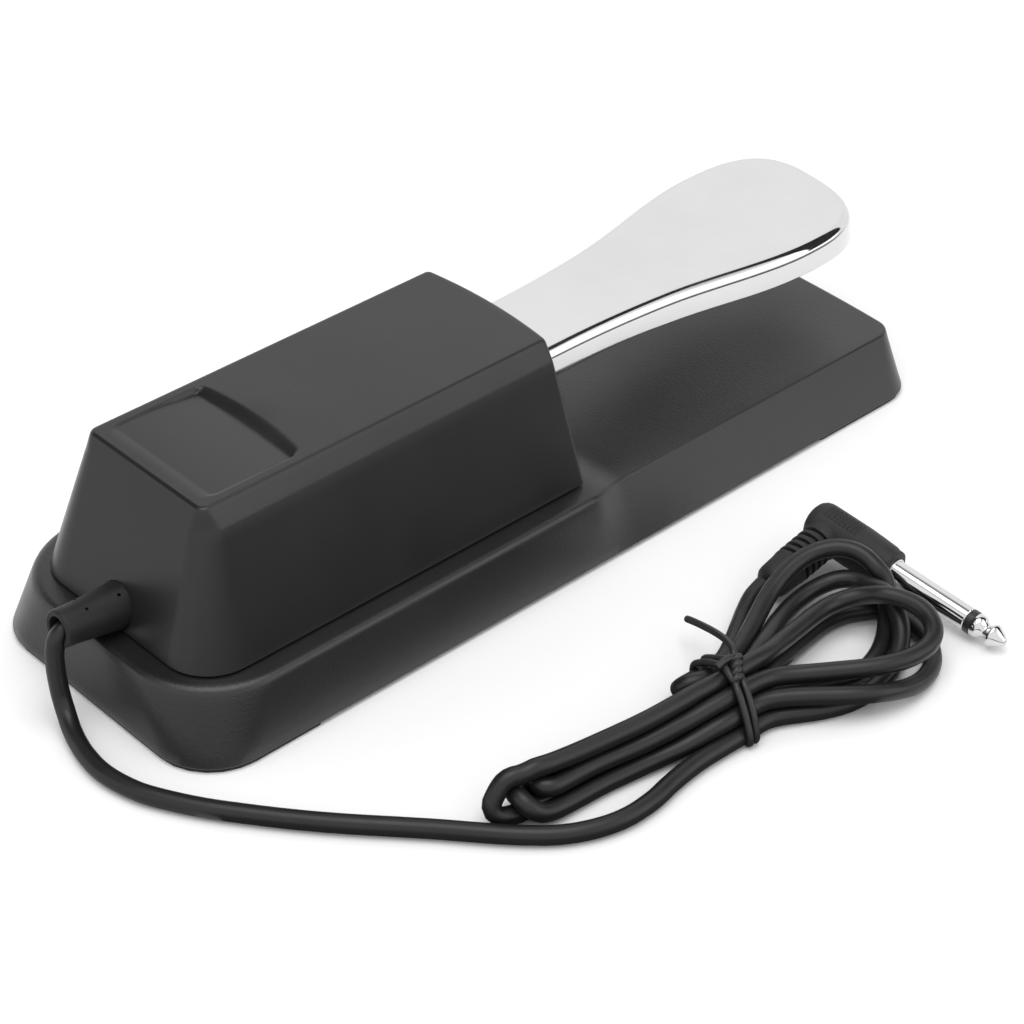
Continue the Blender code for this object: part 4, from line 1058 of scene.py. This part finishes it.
def add_relief(mat):
    """The tapered sleeve: four pin holes from its mould and a wide mouth for the cord to bend in."""
    low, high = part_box("strain_relief")
    start = low.y
    mouth = high.y
    length = mouth - start
    build = Builder()
    profile = in_mm(RELIEF_PROFILE)
    for step in range(7):
        angle = math.radians(15 * step)
        profile.append((3.95 * MM + RELIEF_LIP * math.cos(angle),
                        length - RELIEF_LIP * (1 - math.sin(angle))))
    profile += [(3.3 * MM, length - 0.25 * MM), (3.05 * MM, length - 1.0 * MM), (2.9 * MM, length - 9 * MM)]
    build.turned(profile, 72, pose(relief_axis(start), RELIEF_LEAN))
    relief = piece("strain_relief_sleeve", build.points, build.faces, mat, "case",
                   ["strain_relief"])
    holes = Builder()
    for along, angle in PIN_HOLES:
        turn = math.radians(angle)
        out = Vector((math.cos(turn), 0.0, math.sin(turn)))
        place = relief_axis(start + along * MM) + out * 4.3 * MM
        holes.turned([(0.42 * MM, 0.0), (0.55 * MM, 4 * MM)], 16, pose(place, out))
    lip = Builder()
    lip.turned([(2.75 * MM, -4.0 * MM), (2.75 * MM, 0.0), (2.9 * MM, 5 * MM)], 32,
               pose((0, mouth - 0.6 * MM, RELIEF_MOUTH.z - 1.1 * MM), (0, 0.62, -0.78)))
    cut(relief, holes, "pin_hole_cutter")
    cut(relief, lip, "relief_lip_cutter")


def hull(points):
    """The convex outline of points in a plane, counter-clockwise."""
    points = sorted(map(tuple, points))

    def chain(order):
        found = []
        for point in order:
            while len(found) > 1:
                (ax, ay), (bx, by) = found[-2:]
                if (bx - ax) * (point[1] - ay) - (by - ay) * (point[0] - ax) > 0:
                    break
                found.pop()
            found.append(point)
        return found[:-1]

    return chain(points) + chain(reversed(points))


def wrap_round(cord_points, y, lean, reach, wire):
    """A closed line that hugs the strands crossing y, tilted by lean, as (x, y, z) points."""
    near = cord_points[np.abs(cord_points[:, 1] - y) < reach]
    circle = [(math.cos(a), math.sin(a)) for a in np.linspace(0, 2 * math.pi, 24, endpoint=False)]
    size = CORD_RADIUS + wire
    around = [(x + size * cx, z + size * cz) for x, _, z in near for cx, cz in circle]
    line = np.array(hull(around))
    line = np.vstack([line, line[:1]])
    along = np.concatenate([[0], np.cumsum(np.linalg.norm(np.diff(line, axis=0), axis=1))])
    at = np.linspace(0, along[-1], 90, endpoint=False)
    flat = np.stack([np.interp(at, along, line[:, k]) for k in range(2)], axis=1)
    middle = flat[:, 0].mean()
    return [(x, y + lean * (x - middle), max(z, wire + 0.05 * MM)) for x, z in flat]


def from_the_knot(loop):
    """The loop turned round so that it starts at its highest point on the left, under the knot."""
    top = max(range(len(loop)), key=lambda i: loop[i][2] - 0.4 * loop[i][0])
    return [Vector(point) for point in loop[top:] + loop[:top]]


def add_tie(cord_points, mat):
    """A plastic-coated wire tie: two wraps round the bundle, a twisted knot and a long tail."""
    first, second = [from_the_knot(wrap_round(cord_points, y, lean, TIE_REACH, TIE_WIRE))
                     for y, lean in TIE_WRAPS]
    knot = first[0] + Vector((0.5, -1.0, 0.8)) * MM
    side = KNOT_AXIS.orthogonal().normalized()
    other = KNOT_AXIS.cross(side)
    twist = []
    short = []
    for i in range(KNOT_STEPS):
        angle = math.radians(45 * i)
        middle = knot + KNOT_AXIS * i * KNOT_PITCH
        outwards = (side * math.cos(angle) + other * math.sin(angle)) * KNOT_RADIUS
        twist.append(middle + outwards)
        short.append(middle - outwards)
    start = twist[-1]
    tail = [start + Vector(step) * MM for step in LONG_TAIL]
    line = resample([tuple(point) for point in second + first + twist + tail], 0.9 * MM)
    for _ in range(3):
        line[1:-1] = (line[:-2] + 2 * line[1:-1] + line[2:]) / 4
    tie = tube("wire_tie", line, TIE_WIRE, mat, ["hank_tie"], sides=4)
    start = short[-1]
    short += [start + Vector(step) * MM for step in SHORT_TAIL]
    short_line = resample([tuple(point) for point in short], 0.7 * MM)
    return tie, tube("wire_tie_end", short_line, TIE_WIRE, mat, sides=4)


def grip_studs(angle, height):
    """Five rows of small studs along the outer top of the barrel."""
    row = math.degrees(angle - STUD_ANGLE) / STUD_ROW
    if abs(row) > 2.5 or not STUD_SPAN[0] < height < STUD_SPAN[1]:
        return 0.0
    across = abs((row + 0.5) % 1.0 - 0.5)
    length = abs((height / STUD_PITCH) % 1.0 - 0.5)
    return STUD_HEIGHT if across < 0.33 and length < 0.34 else 0.0


def leg_profile():
    """The boot's leg: a collar, a row of flexing ribs and a plain end."""
    profile = [(4.2, -2.0), (5.3, 3.0), (5.35, 5.2)]
    for i in range(LEG_RIBS):
        low = RIB_START + RIB_PITCH * i
        profile += [(5.1, low), (4.1, low + 0.12), (4.05, low + 0.9), (4.95, low + 1.02),
                    (5.05, low + 1.6)]
    return profile + [(4.9, 17.6), (4.75, 19.0), (4.6, 22.6), (4.4, 23.8), (3.9, 24.6), (3.3, 24.9),
                      (2.5, 24.95)]


def turned_piece(name, profile, segments, matrix, mat, replaced=(), angle=SHARP_ANGLE,
                 bumps=None):
    build = Builder()
    build.turned(in_mm(profile), segments, matrix, bumps)
    return piece(name, build.points, build.faces, mat, "case", replaced, angle)


def add_plug(rubber_mat, metal_mat, ring_mat):
    """The right-angle plug: barrel and ribbed leg of the boot, then ring, sleeve and tip."""
    matrix = plug_matrix()
    along = matrix @ Matrix.Rotation(math.radians(90), 4, "Y")
    down = matrix @ pose((LEG_STATION, 0, 0), (0, 1, 0))
    return [
        turned_piece("plug_barrel", BARREL_PROFILE, 240, along, rubber_mat,
                     ["plug_boot"], 60, grip_studs),
        turned_piece("plug_strain_relief", leg_profile(), 64, down, rubber_mat, angle=40),
        turned_piece("plug_ring", RING_PROFILE, 64, along, ring_mat, ["plug_insulator"]),
        turned_piece("plug_sleeve_shell", SLEEVE_PROFILE, 96, along, metal_mat,
                     ["plug_sleeve"]),
        turned_piece("plug_tip_shell", TIP_PROFILE, 72, along, metal_mat, ["plug_tip"], 50),
    ]


# -------------------- materials of the carried-over nodes

def paint(mat, *names):
    """Gives every material slot of the named CAD nodes this material."""
    for name in names:
        for material_slot in NODES[name].material_slots:
            material_slot.material = mat


def both(*names):
    return [f"{name}_{side}" for name in names for side in ("left", "right")]


def paint_frame(steel, white, black_rubber, black_abs):
    """The pieces inside and underneath keep their CAD shapes and get their real materials."""
    paint(plated_steel("zinc_plate", (0.50, 0.51, 0.53), 0.38), "bottom_plate")
    paint(steel, "pivot_bracket", "pivot_shaft", "return_spring", "bracket_screw_front",
          "bracket_screw_rear", *both("shaft_clip", "board_screw", "clamp_screw"),
          *[f"{part}_screw_{i}" for part in ("plate", "cover") for i in range(1, 5)])
    paint(white, "spring_seat", "switch_plunger", *both("pivot_bush", "board_post"))
    paint(black_rubber, "front_rubber_pad", "rear_rubber_pad", "lower_stop_pad")
    paint(black_abs, "switch_body", "cord_clamp")
    paint(felt(), "upper_stop_pad")
    paint(circuit_laminate(), "circuit_board")
    paint(insulated_wire("signal_insulation", (0.35, 0.02, 0.02)), "signal_wire")
    paint(insulated_wire("ground_insulation", (0.02, 0.02, 0.02)), "ground_wire")
    paint(insulated_wire("inner_sheath", (0.015, 0.015, 0.016)), "inner_cord")


# -------------------- build

add_camera()
studio()
cord, cord_points = add_cord()

cover_plastic = moulded_plastic("cover_plastic", (0.010, 0.010, 0.0105), 0.30, 2600.0, 0.012 * MM, 0.45)
grained = moulded_plastic("base_plastic", (0.009, 0.009, 0.0095), 0.34, 1500.0, 0.075 * MM, 0.58)
black_rubber = rubber("moulded_rubber")
plate = chrome()
steel = plated_steel("zinc_parts", (0.62, 0.62, 0.64), 0.30, streak=(1.0, 1.0, 1.0))

add_base(grained)
add_cover(cover_plastic)
add_lever(plate)
add_relief(rubber("relief_rubber", (0.008, 0.008, 0.0085), 0.5))
tie_pieces = add_tie(cord_points, insulated_wire("tie_coating", (0.012, 0.012, 0.013)))
plug_pieces = add_plug(rubber("boot_rubber", roughness=0.55), chrome("plug_plating", waves=False),
                       moulded_plastic("ring_plastic", (0.012, 0.012, 0.012), 0.35, 2600.0, 0.005 * MM, 0.5))
paint_frame(steel, nylon(), black_rubber, cover_plastic)
